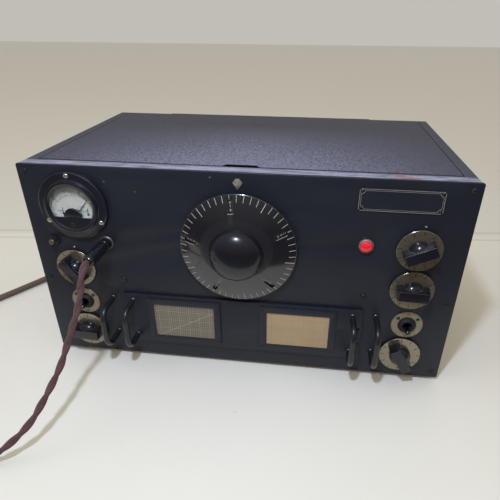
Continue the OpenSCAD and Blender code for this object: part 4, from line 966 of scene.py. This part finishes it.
EDGE_X, EDGE_UPS = (-211.5, 211.5), (7.5, 96.5, 217)    # the screws round the panel's edge
COIL_TOP_SCREWS = ((-128, 99.7, 75), (128, 99.7, 12))   # and two over the coil set, with their turns
METER_CIRCLE, TOGGLE_CIRCLE = 31.6, 12.7                # radii of the screws' circles


def build_screws():
    heads = []
    for i, x in enumerate(EDGE_X):
        for k, up in enumerate(EDGE_UPS):
            heads.append(screw_head(3.1, panel_paint, x, up, 0, 20 + 67 * i + 49 * k, 0.24))
    for x, up, turn in COIL_TOP_SCREWS:
        heads.append(screw_head(3.3, black_steel, x, up, 0, turn))
    for i, (x, up) in enumerate(round_about(FITTINGS["meter"], METER_CIRCLE, (90, 210, 330))):
        heads.append(screw_head(2.5, bright_nickel, x, up, 5, 35 + 40 * i))
    for sx, sy in CORNERS:
        x, up = NAMEPLATE[0] + sx * 35.65, NAMEPLATE[1] + sy * 8.45
        heads.append(screw_head(1.5, dark_lever, x, up, 1, 30 * sx + 50 * sy))
    for name in ("left_toggle", "right_toggle"):
        for x, up in round_about(FITTINGS[name], TOGGLE_CIRCLE, (38, 142)):
            heads.append(screw_head(1.9, dark_lever, x, up, 0.8, 0.4 * x))
    return join(heads, "screw_heads")


settle(build_screws(), "cabinet", None, "black_steel", "panel_screws")


# %% [markdown]
# ## The main dial
# The dial is a thin spun shell, a very flat cone, with five small windows that show the number ring
# behind it. A cone mirrors the room differently above and below its middle: this is why it looks dark
# at the top and pale at the bottom. The marks are filled with old white paint, so here they are thin
# strips that lie on the slope. Three more strips at the lower edges of windows are painted highlights.

# %% Dial shell
SLOPE = 19.5                        # degrees
RIM_R, RIM_PROUD = 58.2, 6.8
WEB_R, WEB_T = 27, 1.7              # the flat middle under the knob, and the shell's thickness
STEP = 7.2                          # degrees from one number of the ring to the next
WINDOW_TURNS = [STEP + 72 * k for k in range(5)]
WINDOW_R_MID = 47.35


def dial_face(r):
    return RIM_PROUD + (RIM_R - r) * math.tan(radians(SLOPE))


def build_dial():
    web = dial_face(WEB_R)
    shell = turned("dial_shell", [
        (3.3, web), (26.4, web), (WEB_R, web - 0.05), (57.2, dial_face(57.2)), (57.8, dial_face(57.8) - 0.08),
        (58.12, 6.6), (RIM_R, 6.3), (RIM_R, 5.5), (58.0, 5.15), (57.6, 5.1), (WEB_R, web - WEB_T),
        (3.3, web - WEB_T), (3.3, web)], 180)
    window = shifted(rounded(4.4, 12.3, 0.9, 3), 0, WINDOW_R_MID)
    combine(shell, join([swing(plate("slot", window, 0, 30), turn) for turn in WINDOW_TURNS], "slots"))
    return stand(soften(shell, 0.3, 2, 50), *FITTINGS["dial"])


settle(build_dial(), "dial", dial_black, "dial_black", "dial_disc", angle=30)


# %% Dial marks
def strip(width, length, thick=0.1):
    return plate("strip", rounded(width, length, 0.12, 1), 0, thick)


def on_cone(piece, r, turn, lift=0.01):
    """Lays a flat piece on the dial's slope at a radius, and turns it round the dial."""
    lay = Matrix.Translation(scaled(0, r, dial_face(r) + lift)) @ Matrix.Rotation(radians(-SLOPE), 4, "X")
    return place(piece, Matrix.Rotation(radians(turn), 4, "Z") @ lay)


def build_dial_marks():
    marks, outer = [], 57.5
    for k in range(50):
        window, long = k % 10 == 1, k % 10 == 6
        inner = 53.9 if window else 48.2 if long else 51.0
        length = (outer - inner) / cos(radians(SLOPE))
        marks.append(on_cone(strip(0.52 if long else 0.42, length), (inner + outer) / 2, STEP * k))
    # Painted highlights: three strips along the lower edges of the top, left and right windows stand for the
    # light that those edges catch.
    marks.append(on_cone(strip(5.8, 0.3), 40.75, WINDOW_TURNS[0]))
    for turn in (WINDOW_TURNS[1] + 3.1, WINDOW_TURNS[4] - 3.1):
        marks.append(on_cone(strip(0.3, 11.5), WINDOW_R_MID, turn))
    return stand(join(marks, "dial_marks_and_painted_highlights"), *FITTINGS["dial"])


settle(build_dial_marks(), "dial", mark_tick_and_highlight, "dial_black", angle=0)


# %% [markdown]
# ### Numbers on the ring
# The ring behind the windows carries the tens from 0 to 480, each with its digits stacked from the rim
# inwards. Ten digits are drawn once as text, turned into meshes, and copied.

# %% Digits
def written(text, size, thick=0.06):
    """A word or digit as a thin mesh, centred, of that height in millimetres."""
    calm()
    bpy.ops.object.text_add(location=(0, 0, 0))
    piece = bpy.context.object
    em_to_digit = 1.38                  # the font's size against the height of its digits
    piece.data.body, piece.data.size = text, size * MM * em_to_digit
    piece.data.align_x, piece.data.align_y = "CENTER", "CENTER"
    piece.data.resolution_u = 3
    piece.data.extrude = thick * MM / 2
    piece.data.offset = 0.02 * MM * size
    bpy.ops.object.convert(target="MESH")
    piece = edit(bpy.context.object)
    tidy_shell()
    return piece


digits = {str(n): written(str(n), 1.0) for n in range(10)}


def digit(char, size):
    piece = copy_of(digits[char], "digit")
    piece.matrix_world = Matrix.Diagonal((size, size, 1, 1))
    return place(piece, Matrix.Identity(4))


DIGIT_GAP, RING_DEPTH = 3.5, -2.26  # from one digit to the next, and from the dial's face to the ring
TOP_VALUE = 210                     # the number that the window at the top shows


def build_ring_numbers():
    pieces = []
    for k, home in enumerate(WINDOW_TURNS):
        for m in range(-4, 6):
            value = TOP_VALUE + 10 * (k if k < 3 else k - 5) + 50 * m
            if value < 0:
                continue
            text = str(value)
            for i, char in enumerate(text):
                r = 47.1 + (len(text) - 1) * DIGIT_GAP / 2 - DIGIT_GAP * i
                pieces.append(on_cone(digit(char, 2.5), r, home - STEP * m, RING_DEPTH))
    return stand(join(pieces, "ring_numbers"), *FITTINGS["dial"])


settle(build_ring_numbers(), "number_ring", mark_grey, "bakelite", angle=0)


# %% [markdown]
# ### Dial knob and pointer
# The knob is one deep dome of moulded bakelite on a thin skirt. The pointer above the dial is a small
# kite of nickel whose face rises to a point, which gives it its facets: the poke operator makes them.

# %% Dial knob and pointer
def build_dial_knob():
    web = dial_face(WEB_R)
    profile = [(0, web), (26.5, web), (WEB_R, web + 0.4), (WEB_R, web + 1.0)]
    profile += dome(26.7, 15.75, web + 1.4, 20)
    return fitted("tuning_knob", profile, 128, "dial")


def build_pointer():
    tip = FITTINGS["dial"][1] + RIM_R + 1.4
    kite = plate("pointer", [(0, 0), (4.6, 7.46), (1.84, 11.3), (-1.84, 11.3), (-4.6, 7.46)], 0, 1.0)
    edit(kite)
    choose(faces_up)
    bpy.ops.mesh.poke(offset=1.5 * MM)
    bpy.ops.object.mode_set(mode="OBJECT")
    stand(kite, 0, tip)
    pins = []
    for name in ("left_mid", "right_top"):
        x, up = FITTINGS[name]
        pin = turned("pin", [(0, 0), (1.1, 0), (1.1, 0.55), (0.8, 0.9), (0.3, 1.0), (0, 1.0)], 24)
        pins.append(stand(pin, x + 2, up + 24.2))
    return join([kite] + pins, "pointer_and_pins")


settle(build_dial_knob(), "dial", dome_black, "bakelite", "dial_knob", angle=40)
settle(build_pointer(), "cabinet", bright_nickel, "nickel", "index_pointer", angle=10)


# %% [markdown]
# ## Bar knobs and their scales
# Each small knob is a glossy dome with a square-ended bar across it. The bar narrows a little towards its
# flat face, whose crisp edges catch the light. It sits on a silvered plate that turns with it and carries
# ticks and numbers. Knob and plate are modelled once, and copied to five places with their own turn.

# %% One knob and one scale
KNOB_BASE, KNOB_PROUD, BOSS_R = 3.1, 15.85, 11
BAR_LENGTH, BAR_WIDTH = 31.6, 12.6
PLATE_R, PLATE_T, PLATE_PROUD = 21.5, 0.9, 2.2
KNOB_TURNS = {"left_mid": -56, "left_low": -3, "right_top": 25, "right_mid": -2, "right_low": -59}


def build_knob():
    base = turned("knob", [(0, KNOB_BASE), (BOSS_R - 0.3, KNOB_BASE), (BOSS_R, KNOB_BASE + 0.3)]
                  + dome(BOSS_R, 9.5, KNOB_BASE + 2, 14), 96)
    bar = edit(plate("bar", rounded(BAR_LENGTH, BAR_WIDTH, 0.9, 3), KNOB_BASE, KNOB_PROUD))
    choose(faces_up)
    bpy.ops.transform.resize(value=(0.934, 0.857, 1), center_override=scaled(0, 0, KNOB_PROUD))
    bpy.ops.object.mode_set(mode="OBJECT")
    soften(bar, 0.4, 5, 25)
    return combine(base, bar, "UNION")


def build_scale():
    disc = turned("scale", [(3.3, 0), (21.2, 0), (PLATE_R, 0.2), (PLATE_R, 0.7), (21.3, PLATE_T),
                            (3.3, PLATE_T), (3.3, 0)], 128)
    marks = []
    for k in range(11):
        turn = 150 - 30 * k
        marks.append(laid_round(strip(0.6, 1.9, 0.05), 0, 20.2, PLATE_T, turn))
        for i, char in enumerate(str(k)):
            x = 1.8 * i - 0.9 * (len(str(k)) - 1)
            marks.append(laid_round(digit(char, 2.3), x, 17.7, PLATE_T + 0.02, turn))
        if k < 10:
            marks.append(laid_round(strip(0.4, 1.1, 0.05), 0, 20.6, PLATE_T, turn - 15))
    return join([coat(disc, scale_silver), coat(join(marks, "ink"), mark_black)], "scale")


knob_model, scale_model = build_knob(), build_scale()
for name, turn in KNOB_TURNS.items():
    x, up = FITTINGS[name]
    knob = stand(copy_of(knob_model, name + "_bar_knob"), x, up, 0, turn)
    scale = stand(copy_of(scale_model, name + "_dial_plate"), x, up, PLATE_PROUD, turn + 90)
    settle(knob, name + "_control", knob_black, "bakelite", name + "_knob", angle=30)
    settle(scale, name + "_control", None, "scale_silver", name + "_scale", angle=30)
for model in [knob_model, scale_model]:
    bpy.data.objects.remove(model)


# %% [markdown]
# ## Toggle switches
# Each toggle has a ring plate, worn and yellowed, under a round nut, and a short lever that hangs a
# little below the level. The ring says ON and OFF, as such plates do.

# %% Toggle plates and levers
def build_toggle_plate(name):
    top = 0.8
    ring = turned("toggle_ring", [(9.2, 0), (15.9, 0), (16.2, 0.2), (16.2, 0.6), (16.0, top), (9.3, top),
                                  (9.2, 0.7), (9.2, 0)], 96)
    words = [shift(written(word, 1.7), 0, up, top + 0.02) for word, up in (("ON", -13.6), ("OFF", 13.6))]
    ticks = [laid_round(strip(0.5, 1.3, 0.05), 0, 14.9, top, turn) for turn in range(20, 360, 40)]
    ink = coat(join(words + ticks, "ink"), mark_black)
    return stand(join([coat(ring, ring_ivory), ink], name + "_ring"), *FITTINGS[name])


def build_lever(name):
    profile = [(0, -1.7), (1.7, -1.7), (1.7, 2), (1.75, 4), (2.0, 8), (2.5, 11.4)]
    profile += [(2.6 * cos(radians(a)), 12.4 + 2.6 * sin(radians(a))) for a in (-12, 10, 30, 50, 70, 82)]
    return stand(turned(name + "_bat", profile + [(0, 15)], 32), *FITTINGS[name], -1.6, tilt=12.5)


plates = join([build_toggle_plate("left_toggle"), build_toggle_plate("right_toggle")], "toggle_rings")
settle(plates, "cabinet", None, "scale_silver", "toggle_plates", angle=30)
for name in ("left_toggle", "right_toggle"):
    settle(build_lever(name), name, dark_lever, "bare_steel", name + "_lever", angle=40)


# %% [markdown]
# ## The meter
# The meter's case is one bakelite moulding: a flange, a raised ring and a flat front whose window is a
# circle with its foot cut off. Behind the glass lie a white card with its scale, a needle, and a black
# half disc that hides the needle's pivot.

# %% Meter case
METER = FITTINGS["meter"]
CHORD, WINDOW_R = -10.6, 22.0       # the window's cut foot below the middle, and its radius
PIVOT, SWING = -11.5, 50            # the needle's pivot below the middle, and its swing to either side
INK_T = 0.04


def window_shape(r, low, n=48):
    """A circle whose foot is cut off at the height low."""
    a = math.degrees(math.asin(low / r))
    return arc(0, 0, r, a, 180 - a, n)


def build_meter_case():
    case = turned("meter_body", [
        (0, -32), (26.9, -32), (27.4, -31.5), (27.4, -0.05), (35.1, -0.05), (35.4, 0.3), (35.4, 3.5),
        (35.0, 4.5), (34.2, 5.0), (28.4, 5.0), (27.6, 5.3), (27.1, 6.0), (27, 7.8), (26.7, 8.7), (26.0, 9.0),
        (24.6, 9.0), (23.9, 8.7), (23.0, 7.8), (22.6, 7.6), (0, 7.6)], 128)
    combine(case, plate("can", ring_outline(25.8, 64), -30.4, 6.4))
    combine(case, plate("window", window_shape(WINDOW_R, CHORD), 6, 12))
    soften(case, 0.25, 2, 50)
    back = turned("block", [(0, -30.4), (25.75, -30.4), (25.75, -0.25), (1.4, -0.25), (1.4, -8), (0, -8)], 64)
    mask = plate("mask", shifted(arc(0, 0, 9.4, 0, 180, 24), 0, CHORD + 0.1), 4.4, 6.9)
    screw = turned("adjuster", [(0, 7.4), (2.3, 7.4), (2.3, 7.9), (2.1, 8.1), (0, 8.2)], 32)
    combine(screw, plate("slot", rounded(5, 0.5, 0.02, 1), 7.8, 9))
    shift(screw, -2, -19.2, 0)
    return stand(join([case, back, soften(mask, 0.3), screw], "meter_body"), *METER)


settle(build_meter_case(), "cabinet", meter_black, "bakelite", "meter_case", angle=30)


# %% Meter glass, needle and scale
def clear_glass(name, tint=(1, 1, 1, 1), roughness=0.02):
    material, tree, shader = new_material(name)
    smear = cloudy(tree, 12.0, 0.55, 0.25)
    feed(tree, shader, {"Base Color": tint, "Transmission Weight": 1.0, "IOR": 1.45,
                        "Roughness": spread(tree, smear, 0, 1, roughness, roughness + 0.05)})
    return material


meter_glass = clear_glass("meter glass")


def build_meter_marks():
    marks = []
    for k in range(31):
        turn = SWING - 2 * SWING * k / 30
        width, length, r = (0.4, 2.4, 23.1) if k % 5 == 0 else (0.25, 1.4, 22.6)
        marks.append(laid_round(strip(width, length, INK_T), 0, r, 0, turn))
        if k % 10 == 0:
            marks.append(laid_round(digit(str(k // 5), 2.3), 0, 26.2, 0, turn))
    arcs = [(r * sin(radians(a)), r * cos(radians(a)))
            for r, way in ((21.7, 1), (21.5, -1)) for a in range(-SWING * way, (SWING + 1) * way, 4 * way)]
    marks.append(plate("line", arcs, 0, INK_T))
    for post in (-13.2, 13.2):
        for width, length, x, y in ((0.75, 6.6, post, 5.4), (5.2, 0.4, post - 3.0, 5.0),
                                    (2.2, 1.9, post, 1.9)):
            marks.append(shift(strip(width, length, INK_T), x, y, 0))
    return stand(join(marks, "meter_marks"), METER[0], METER[1] + PIVOT, 0.82)


def build_needle():
    blade = plate("needle_blade", [(-4, -0.55), (0, -0.45), (23, -0.28), (24.5, 0), (23, 0.28), (0, 0.45),
                                   (-4, 0.55)], 2.05, 2.35)
    swing(blade, SWING)
    hub = turned("hub", [(0, -5), (1.2, -5), (1.2, 2.5), (0.8, 2.8), (0, 2.8)], 24)
    return stand(join([blade, hub], "needle_blade"), METER[0], METER[1] + PIVOT)


def build_meter_glass():
    pane = plate("meter_pane", window_shape(WINDOW_R - 0.1, CHORD + 0.1), 6.5, 7.3)
    combine(pane, drill(9.55, 0, CHORD))
    pane.visible_shadow = False
    return stand(pane, *METER)


settle(build_meter_marks(), "cabinet", mark_black, "card", angle=0)
settle(build_needle(), "needle", mark_black, "bakelite", "meter_needle", angle=30)
settle(build_meter_glass(), "cabinet", meter_glass, "meter_glass", "meter_glass", angle=20)


# %% [markdown]
# ## Jack, plug, pilot lamp and meter switch
# Small turned parts. The plug is a smooth black handle on a nickel shank. The pilot lamp is a bright
# bezel round a red glass jewel that glows a little, because light from its lamp and the room runs through it.

# %% Small turned fittings
def build_plug():
    handle = turned("phone_plug_handle", [
        (0, 2.4), (5.7, 2.4), (6.3, 2.8), (6.5, 3.4), (6.5, 10.2), (6.25, 10.5), (6.25, 11.1), (6.5, 11.4),
        (6.5, 39), (6.3, 41.5), (5.8, 43.2), (4.9, 44.4), (4.2, 44.9), (3.7, 45), (0, 45)], 64)
    shank = turned("shank", [(0, -29), (1.6, -28.6), (2.6, -27), (2.2, -25.4), (3.15, -24), (3.15, 2.4),
                             (0, 2.4)], 32)
    return stand(join([coat(handle, bakelite), coat(shank, nickel)], "phone_plug_handle"), *FITTINGS["jack"])


def red_jewel():
    material, tree, shader = new_material("red jewel")
    facets = put(tree, "TexVoronoi", {"Vector": here(tree), "Scale": 420.0}).outputs["Distance"]
    deep, pale = rgb(0.48, 0.006, 0.016), rgb(0.66, 0.022, 0.035)
    feed(tree, shader, {
        "Base Color": mix(tree, spread(tree, facets, 0.1, 0.6), deep, pale), "Roughness": 0.12,
        "Emission Color": rgb(1.0, 0.012, 0.045), "Emission Strength": 0.10, "Coat Weight": 0.6,
        "Normal": bumped(tree, facets, 0.35, 0.0006)})
    return material


jewel_red = red_jewel()


settle(build_plug(), "cabinet", None, "bakelite", "phone_plug")
bezel = fitted("pilot_ring", [
    (4.6, -11), (5.8, -11), (5.8, 0), (7.0, 0), (7.2, 0.25), (7.2, 1.9), (6.95, 2.6), (6.5, 3.2),
    (6.25, 3.2), (6.2, 2.8), (6.2, 1.0), (4.6, 1.0), (4.6, -11)], 64, "pilot")
jewel = fitted("pilot_lens", [(0, -8), (4.4, -8), (4.4, 1.2), (6, 1.2)] + dome(6, 3.6, 2.2, 12), 64, "pilot")
plunger = fitted("meter_switch_tip", [(0, -15), (2, -15), (2, 4.4), (2.8, 4.8), (3, 5.2), (3, 7.2),
                                      (2.7, 7.9), (2.0, 8.4), (0, 8.6)], 40, "switch")
settle(bezel, "cabinet", bright_nickel, "nickel", "pilot_bezel")
settle(jewel, "cabinet", jewel_red, "jewel_red", "pilot_jewel", angle=50)
settle(plunger, "switch_plunger", dull_nickel, "nickel", "meter_switch_plunger")


# %% [markdown]
# ## Grab handles
# Two handles pull the whole set and two pull the coil set. Each is one round bar with two bends, on
# small feet. A circle is extruded up its leg, spun round the bend, extruded along, spun again and
# extruded down: just as the bar is bent.

# %% Handles
def build_handle(x, base, reach):
    low, high, bend, r = 28, 74, 12, 3.1
    calm()
    bpy.ops.mesh.primitive_circle_add(radius=r * MM, vertices=32, fill_type="NGON",
                                      location=scaled(0, low, 0))
    bar = bpy.context.object
    bpy.ops.object.mode_set(mode="EDIT")
    bpy.ops.mesh.select_all(action="SELECT")
    bpy.ops.mesh.extrude_region_move(TRANSFORM_OT_translate={"value": scaled(0, 0, reach - bend)})
    legs = (scaled(0, high - low - 2 * bend, 0), scaled(0, 0, bend - reach))
    for centre, leg in zip((low + bend, high - bend), legs):
        bpy.ops.mesh.spin(steps=12, angle=pi / 2, center=scaled(0, centre, reach - bend), axis=(1, 0, 0))
        bpy.ops.mesh.extrude_region_move(TRANSFORM_OT_translate={"value": leg})
    tidy_shell()
    print("handle reaches", round(max(v.co.z for v in bar.data.vertices) / MM, 1), "of", reach + r)
    foot = [(0, 0), (4.6, 0), (4.6, 0.3), (4.0, 1.0), (3.0, 1.1), (0, 1.1)]
    feet = [shift(turned("foot", foot, 40), 0, up, 0) for up in (low, high)]
    return stand(join([bar] + feet, "handle"), x, 0, base)


for name, body, node, x, base, reach in (("panel_grips", "cabinet", "panel_handles", 144, 0, 29),
                                         ("coil_set_grips", "coil_set", "coil_handles", 120, 3, 25.5)):
    pair = join([build_handle(s * x, base, reach) for s in (-1, 1)], name)
    settle(pair, body, black_steel, "black_steel", node, angle=40)


# %% [markdown]
# ## The coil set's front
# The coil set pulls out of the panel like a drawer. Its front is a plate with two frames screwed on it,
# and each frame holds a paper card with a chart. The left card is brown with a pale grid and a rising
# line, the right one has gone the colour of straw.

# %% Coil front, frames and cards
def coil_plate():
    front = plate("coil_set_front", shifted(rounded(260, 64, 0.8, 2), 0, COIL_UP), 0.3, 3)
    combine(front, join([drill(1.3, 127, up, 24) for up in (60, 41)], "holes"))
    parts = [stand(coat(soften(front, 0.45, 2), panel_paint), 0, 0)]
    for s in (-1, 1):
        frame_ = plate("frame", rounded(81.8, 56.7, 1.2, 3), 3, 4.8)
        combine(frame_, plate("cutter", rounded(67, 41.9, 0.8, 3), 2, 6))
        parts.append(stand(coat(soften(frame_, 0.5, 2), panel_paint), s * CHART_X, COIL_UP))
        for sx, sy in CORNERS:
            x, up, turn = s * CHART_X + sx * 37.3, COIL_UP + sy * 24.6, 25 * sx + 60 * sy
            parts.append(screw_head(1.6, black_steel, x, up, 4.8, turn))
    return join(parts, "coil_set_front")


CELLS_TO_BOLD = 5


def chart_card(name, paper, stained, ink, faintness, cell, rising=None):
    """Paper with a printed grid: faint lines each cell, stronger ones every five, and one rising line."""
    material, tree, shader = new_material(name)
    spot = axes(tree, here(tree))

    def lines(axis, pitch, width=0.4):
        at = times(tree, spot[axis], 1 / (pitch * MM))
        phase = maths(tree, "FRACT", plus(tree, at, 50.0))
        near = size_of(tree, minus(tree, phase, 0.5))
        return spread(tree, near, 0.5 - width / pitch, 0.5 - width / pitch * 0.55)

    colour = mix(tree, times(tree, cloudy(tree, 26.0, 0.5, 0.3), 0.8), paper, stained)
    for pitch, share in ((cell, faintness), (cell * CELLS_TO_BOLD, min(faintness * 1.6, 1))):
        grid = larger(tree, lines("X", pitch), lines("Z", pitch))
        colour = mix(tree, times(tree, grid, share), colour, ink)
    if rising:
        (x0, z0), (x1, z1) = rising
        slope = (z1 - z0) / (x1 - x0)
        line = times(tree, minus(tree, spot["X"], x0 * MM), slope)
        off = minus(tree, minus(tree, spot["Z"], z0 * MM), line)
        curve = spread(tree, size_of(tree, off), 0.0007, 0.0003)
        colour = mix(tree, times(tree, curve, 0.9), colour, ink)
    fibre = use(tree, grain, {"Size mm": 0.5})
    feed(tree, shader, {"Base Color": colour, "Roughness": 0.6,
                        "Normal": bumped(tree, fibre["Height"], 0.1, 0.0002)})
    return material


brown_card = chart_card("brown chart card", rgb(0.125, 0.106, 0.079), rgb(0.092, 0.077, 0.056),
                        rgb(0.27, 0.24, 0.20), 0.62, 2.28, rising=((-82, 41), (-36, 66)))
straw_card = chart_card("straw chart card", rgb(0.395, 0.29, 0.18), rgb(0.31, 0.22, 0.13),
                        rgb(0.20, 0.145, 0.085), 0.2, 2.3)


def build_cards():
    cards = []
    for s, finish in ((-1, brown_card), (1, straw_card)):
        card = edit(plate("card", rounded(66.7, 41.6, 0.7, 3), 3, 3.6))
        choose(faces_up)
        bpy.ops.mesh.inset(thickness=0.25 * MM, depth=-0.12 * MM)
        bpy.ops.object.mode_set(mode="OBJECT")
        cards.append(stand(coat(card, finish), s * CHART_X, COIL_UP))
    return join(cards, "chart_papers")


settle(coil_plate(), "coil_set", None, "panel_paint", "coil_front", angle=30)
settle(build_cards(), "coil_set", None, "chart_card", "chart_cards", angle=0)


# %% [markdown]
# ## Nameplate
# A small black plate with notched corners, held by four screws. Two fine bright lines run round its
# edge, and its middle is plain.

# %% Nameplate
def notched(w, h, r, n=5):
    """A rectangle whose corners are bitten out by small circles."""
    x, y = w / 2, h / 2
    return (arc(x, -y, r, 180, 90, n) + arc(x, y, r, 270, 180, n)
            + arc(-x, y, r, 360, 270, n) + arc(-x, -y, r, 90, 0, n))


def line_frame(w, h, r, width, z):
    frame_ = plate("line", notched(w, h, r), z, z + 0.08)
    return combine(frame_, plate("inner", notched(w - 2 * width, h - 2 * width, r), z - 1, z + 1))


line_grey = plain_ink("rubbed line", rgb(0.24, 0.23, 0.225), 0.4)


def build_nameplate():
    base = coat(soften(plate("name_plate", notched(76.5, 22.1, 1.3), 0, 1), 0.15, 2), panel_paint)
    sizes = ((75.6, 21.2, 1.5, 0.45), (72.6, 18.2, 3.2, 0.3))
    lines = [coat(line_frame(*size, 0.98), line_grey) for size in sizes]
    return stand(join([base] + lines, "name_plate"), *NAMEPLATE)


settle(build_nameplate(), "cabinet", None, "panel_paint", "nameplate", angle=20)


# %% [markdown]
# ## Tubes under the lid
# Each tube is a thin shouldered glass with a grey anode, two mica discs and a mirror of getter metal at
# the crown, under a grid cap. They show when the lid is lifted.

# %% Tubes
tube_glass_finish = clear_glass("tube glass", rgb(0.93, 0.96, 0.95), 0.03)
anode_grey = painted("carbonised anode", (0.05, 0.05, 0.052), (0.12, 0.12, 0.12), 0.6, grain_mm=0.4,
                     bump=0.2)
getter = painted("getter mirror", (0.35, 0.33, 0.30), (0.5, 0.5, 0.48), 0.18, grain_mm=0.6, metal=1.0)
DECK, SOCKET_H = 94, 37             # z of the chassis deck, and the height of a tube's base on it
TUBE_SPOTS = [(-180 + 72 * i, 88.5) for i in range(6)] + [(s * 182, -41.5) for s in (-1, 1)]


def build_tube():
    outer = [(0, 0.3), (11.2, 0.3), (12.6, 2.5), (13.5, 7), (13.5, 38.4), (13.0, 41), (11.0, 44.6),
             (8.8, 46.8), (8.3, 48.5), (8.1, 56), (7.0, 59.4), (4.6, 61.2)]
    inner = [(r - 0.8, z + (0.8 if z < 3 else -0.5 if z > 58 else 0)) for r, z in reversed(outer[1:])]
    glass = turned("tube", outer + [(0, 61.3), (0, 60.4)] + inner[1:] + [(0, 1.1), (0, 0.3)], 48)
    coat(glass, tube_glass_finish)
    anode = coat(soften(turned("anode", [(0, 9), (7.2, 9), (7.2, 34), (0, 34)], 6), 0.6, 2), anode_grey)
    discs = [coat(turned("mica", [(0, z), (11.6, z), (11.8, z + 0.2), (11.6, z + 0.4), (0, z + 0.4)], 24),
                  card_white) for z in (7.5, 35.2)]
    mirror = turned("getter", [(7.0, 55.5), (6.2, 58.2), (4.2, 59.8), (0, 60.2), (0, 60.0), (4.0, 59.6),
                               (5.9, 58.0), (6.7, 55.5), (7.0, 55.5)], 32)
    cap = turned("cap", [(0, 61.4), (4.5, 61.4), (4.5, 67), (4.0, 67.8), (0, 68)], 32)
    return join([glass, anode, coat(mirror, getter), coat(cap, nickel)] + discs, "tube")


tube_model = build_tube()
tubes = [shift(copy_of(tube_model, "tube"), x, y, DECK + SOCKET_H) for x, y in TUBE_SPOTS]
bpy.data.objects.remove(tube_model)
settle(join(tubes, "glass_tubes"), "cabinet", None, "tube_glass", "tube_glass", angle=40)
for glyph in digits.values():
    bpy.data.objects.remove(glyph)


# %% [markdown]
# ## Table, light and room
# The receiver stands on a white table in front of a pale wall. A small lamp hangs a little over the
# camera: it draws the short crisp shadows of handles and knobs. A wide one at the left stands for a
# window. The rest of the light is soft and slightly brown, so every shadow looks tan. For mirrors the
# table ends in front of the set, because the room behind the camera is dim.

# %% Table and lights
def build_table():
    calm()
    bpy.ops.mesh.primitive_plane_add(size=12, location=(0, 0, 0))
    table = bpy.context.object
    table.name = "table"
    material, tree, shader = new_material("pale table")
    spot = axes(tree, here(tree))
    x, y = spot["X"], spot["Y"]
    along = minus(tree, y, times(tree, x, 0.12))
    wall = spread(tree, along, 0.228, 0.234)
    # Two thin tan lines, darker than table and wall, are drawn along the wall's foot: one on the table side
    # and one on the wall side.
    table_side_line = size_of(tree, minus(tree, along, 0.214))
    wall_side_line = size_of(tree, minus(tree, along, 0.244))
    lines = larger(tree, spread(tree, table_side_line, 0.004, 0.001), spread(tree, wall_side_line, 0.005, 0.001))
    cloud = cloudy(tree, 300.0, 0.5, 0.4)
    fleck = cloudy(tree, 14.0, 0.70, 0.02)
    pale = mix(tree, cloud, rgb(0.70, 0.685, 0.64), rgb(0.755, 0.745, 0.705))
    pale = mix(tree, times(tree, fleck, 0.25), pale, rgb(0.42, 0.40, 0.36))
    ground = mix(tree, wall, pale, rgb(0.675, 0.67, 0.645))
    ground = mix(tree, times(tree, lines, 0.3), ground, rgb(0.36, 0.31, 0.22))
    edge = minus(tree, times(tree, y, 0.974), times(tree, x, 0.2265))
    near = spread(tree, edge, -0.290, -0.315)
    mirrored = times(tree, near, put(tree, "LightPath").outputs["Is Glossy Ray"])
    feed(tree, shader, {"Base Color": mix(tree, mirrored, ground, rgb(0.035, 0.03, 0.028)),
                        "Roughness": 0.42, "Specular IOR Level": 0.25})
    coat(table, material)
    return table


def soft_lamp(name, at, target, width, height, power, colour=(1, 1, 1), mirrored=True):
    data = bpy.data.lights.new(name, "AREA")
    data.shape, data.size, data.size_y, data.energy, data.color = "RECTANGLE", width, height, power, colour
    lamp = link(bpy.data.objects.new(name, data))
    lamp.location = at
    lamp.rotation_euler = (Vector(target) - Vector(at)).to_track_quat("-Z", "Y").to_euler()
    lamp.visible_glossy = mirrored
    return lamp


def build_room():
    """Pale walls behind the receiver, dim brown ones behind the camera."""
    world = bpy.data.worlds.new("room")
    bpy.context.scene.world = world
    world.use_nodes = True
    tree = world.node_tree
    tree.nodes.clear()
    way = axes(tree, put(tree, "TexCoord").outputs["Generated"])
    behind = spread(tree, way["Y"], -0.35, 0.75)
    above = spread(tree, way["Z"], 0.0, 0.9)
    sides = mix(tree, behind, rgb(0.11, 0.095, 0.08), rgb(0.56, 0.55, 0.56))
    mirrored = mix(tree, above, sides, rgb(0.42, 0.41, 0.40))
    left = spread(tree, way["X"], 0.6, -0.8)
    soft = mix(tree, left, rgb(0.68, 0.61, 0.465), rgb(0.84, 0.785, 0.66))
    rays = put(tree, "LightPath").outputs
    colour = mix(tree, rays["Is Diffuse Ray"], mirrored, soft)
    colour = mix(tree, rays["Is Camera Ray"], colour, rgb(0.535, 0.515, 0.475))
    shade = put(tree, "Background", {"Color": colour, "Strength": 1.0})
    output = tree.nodes.new("ShaderNodeOutputWorld")
    tree.links.new(shade.outputs[0], output.inputs["Surface"])


table = build_table()
build_room()
key = soft_lamp("small lamp", (-0.017, -0.46, 0.686), (0, -0.05, 0.1), 0.045, 0.045, 3.6, (0.70, 0.80, 1.0))
window = soft_lamp("window", (-1.5, -0.5, 1.7), (0, 0, 0.1), 1.1, 1.1, 6, (0.92, 0.97, 1.0), mirrored=False)
print("lamps:", key.name, window.name)
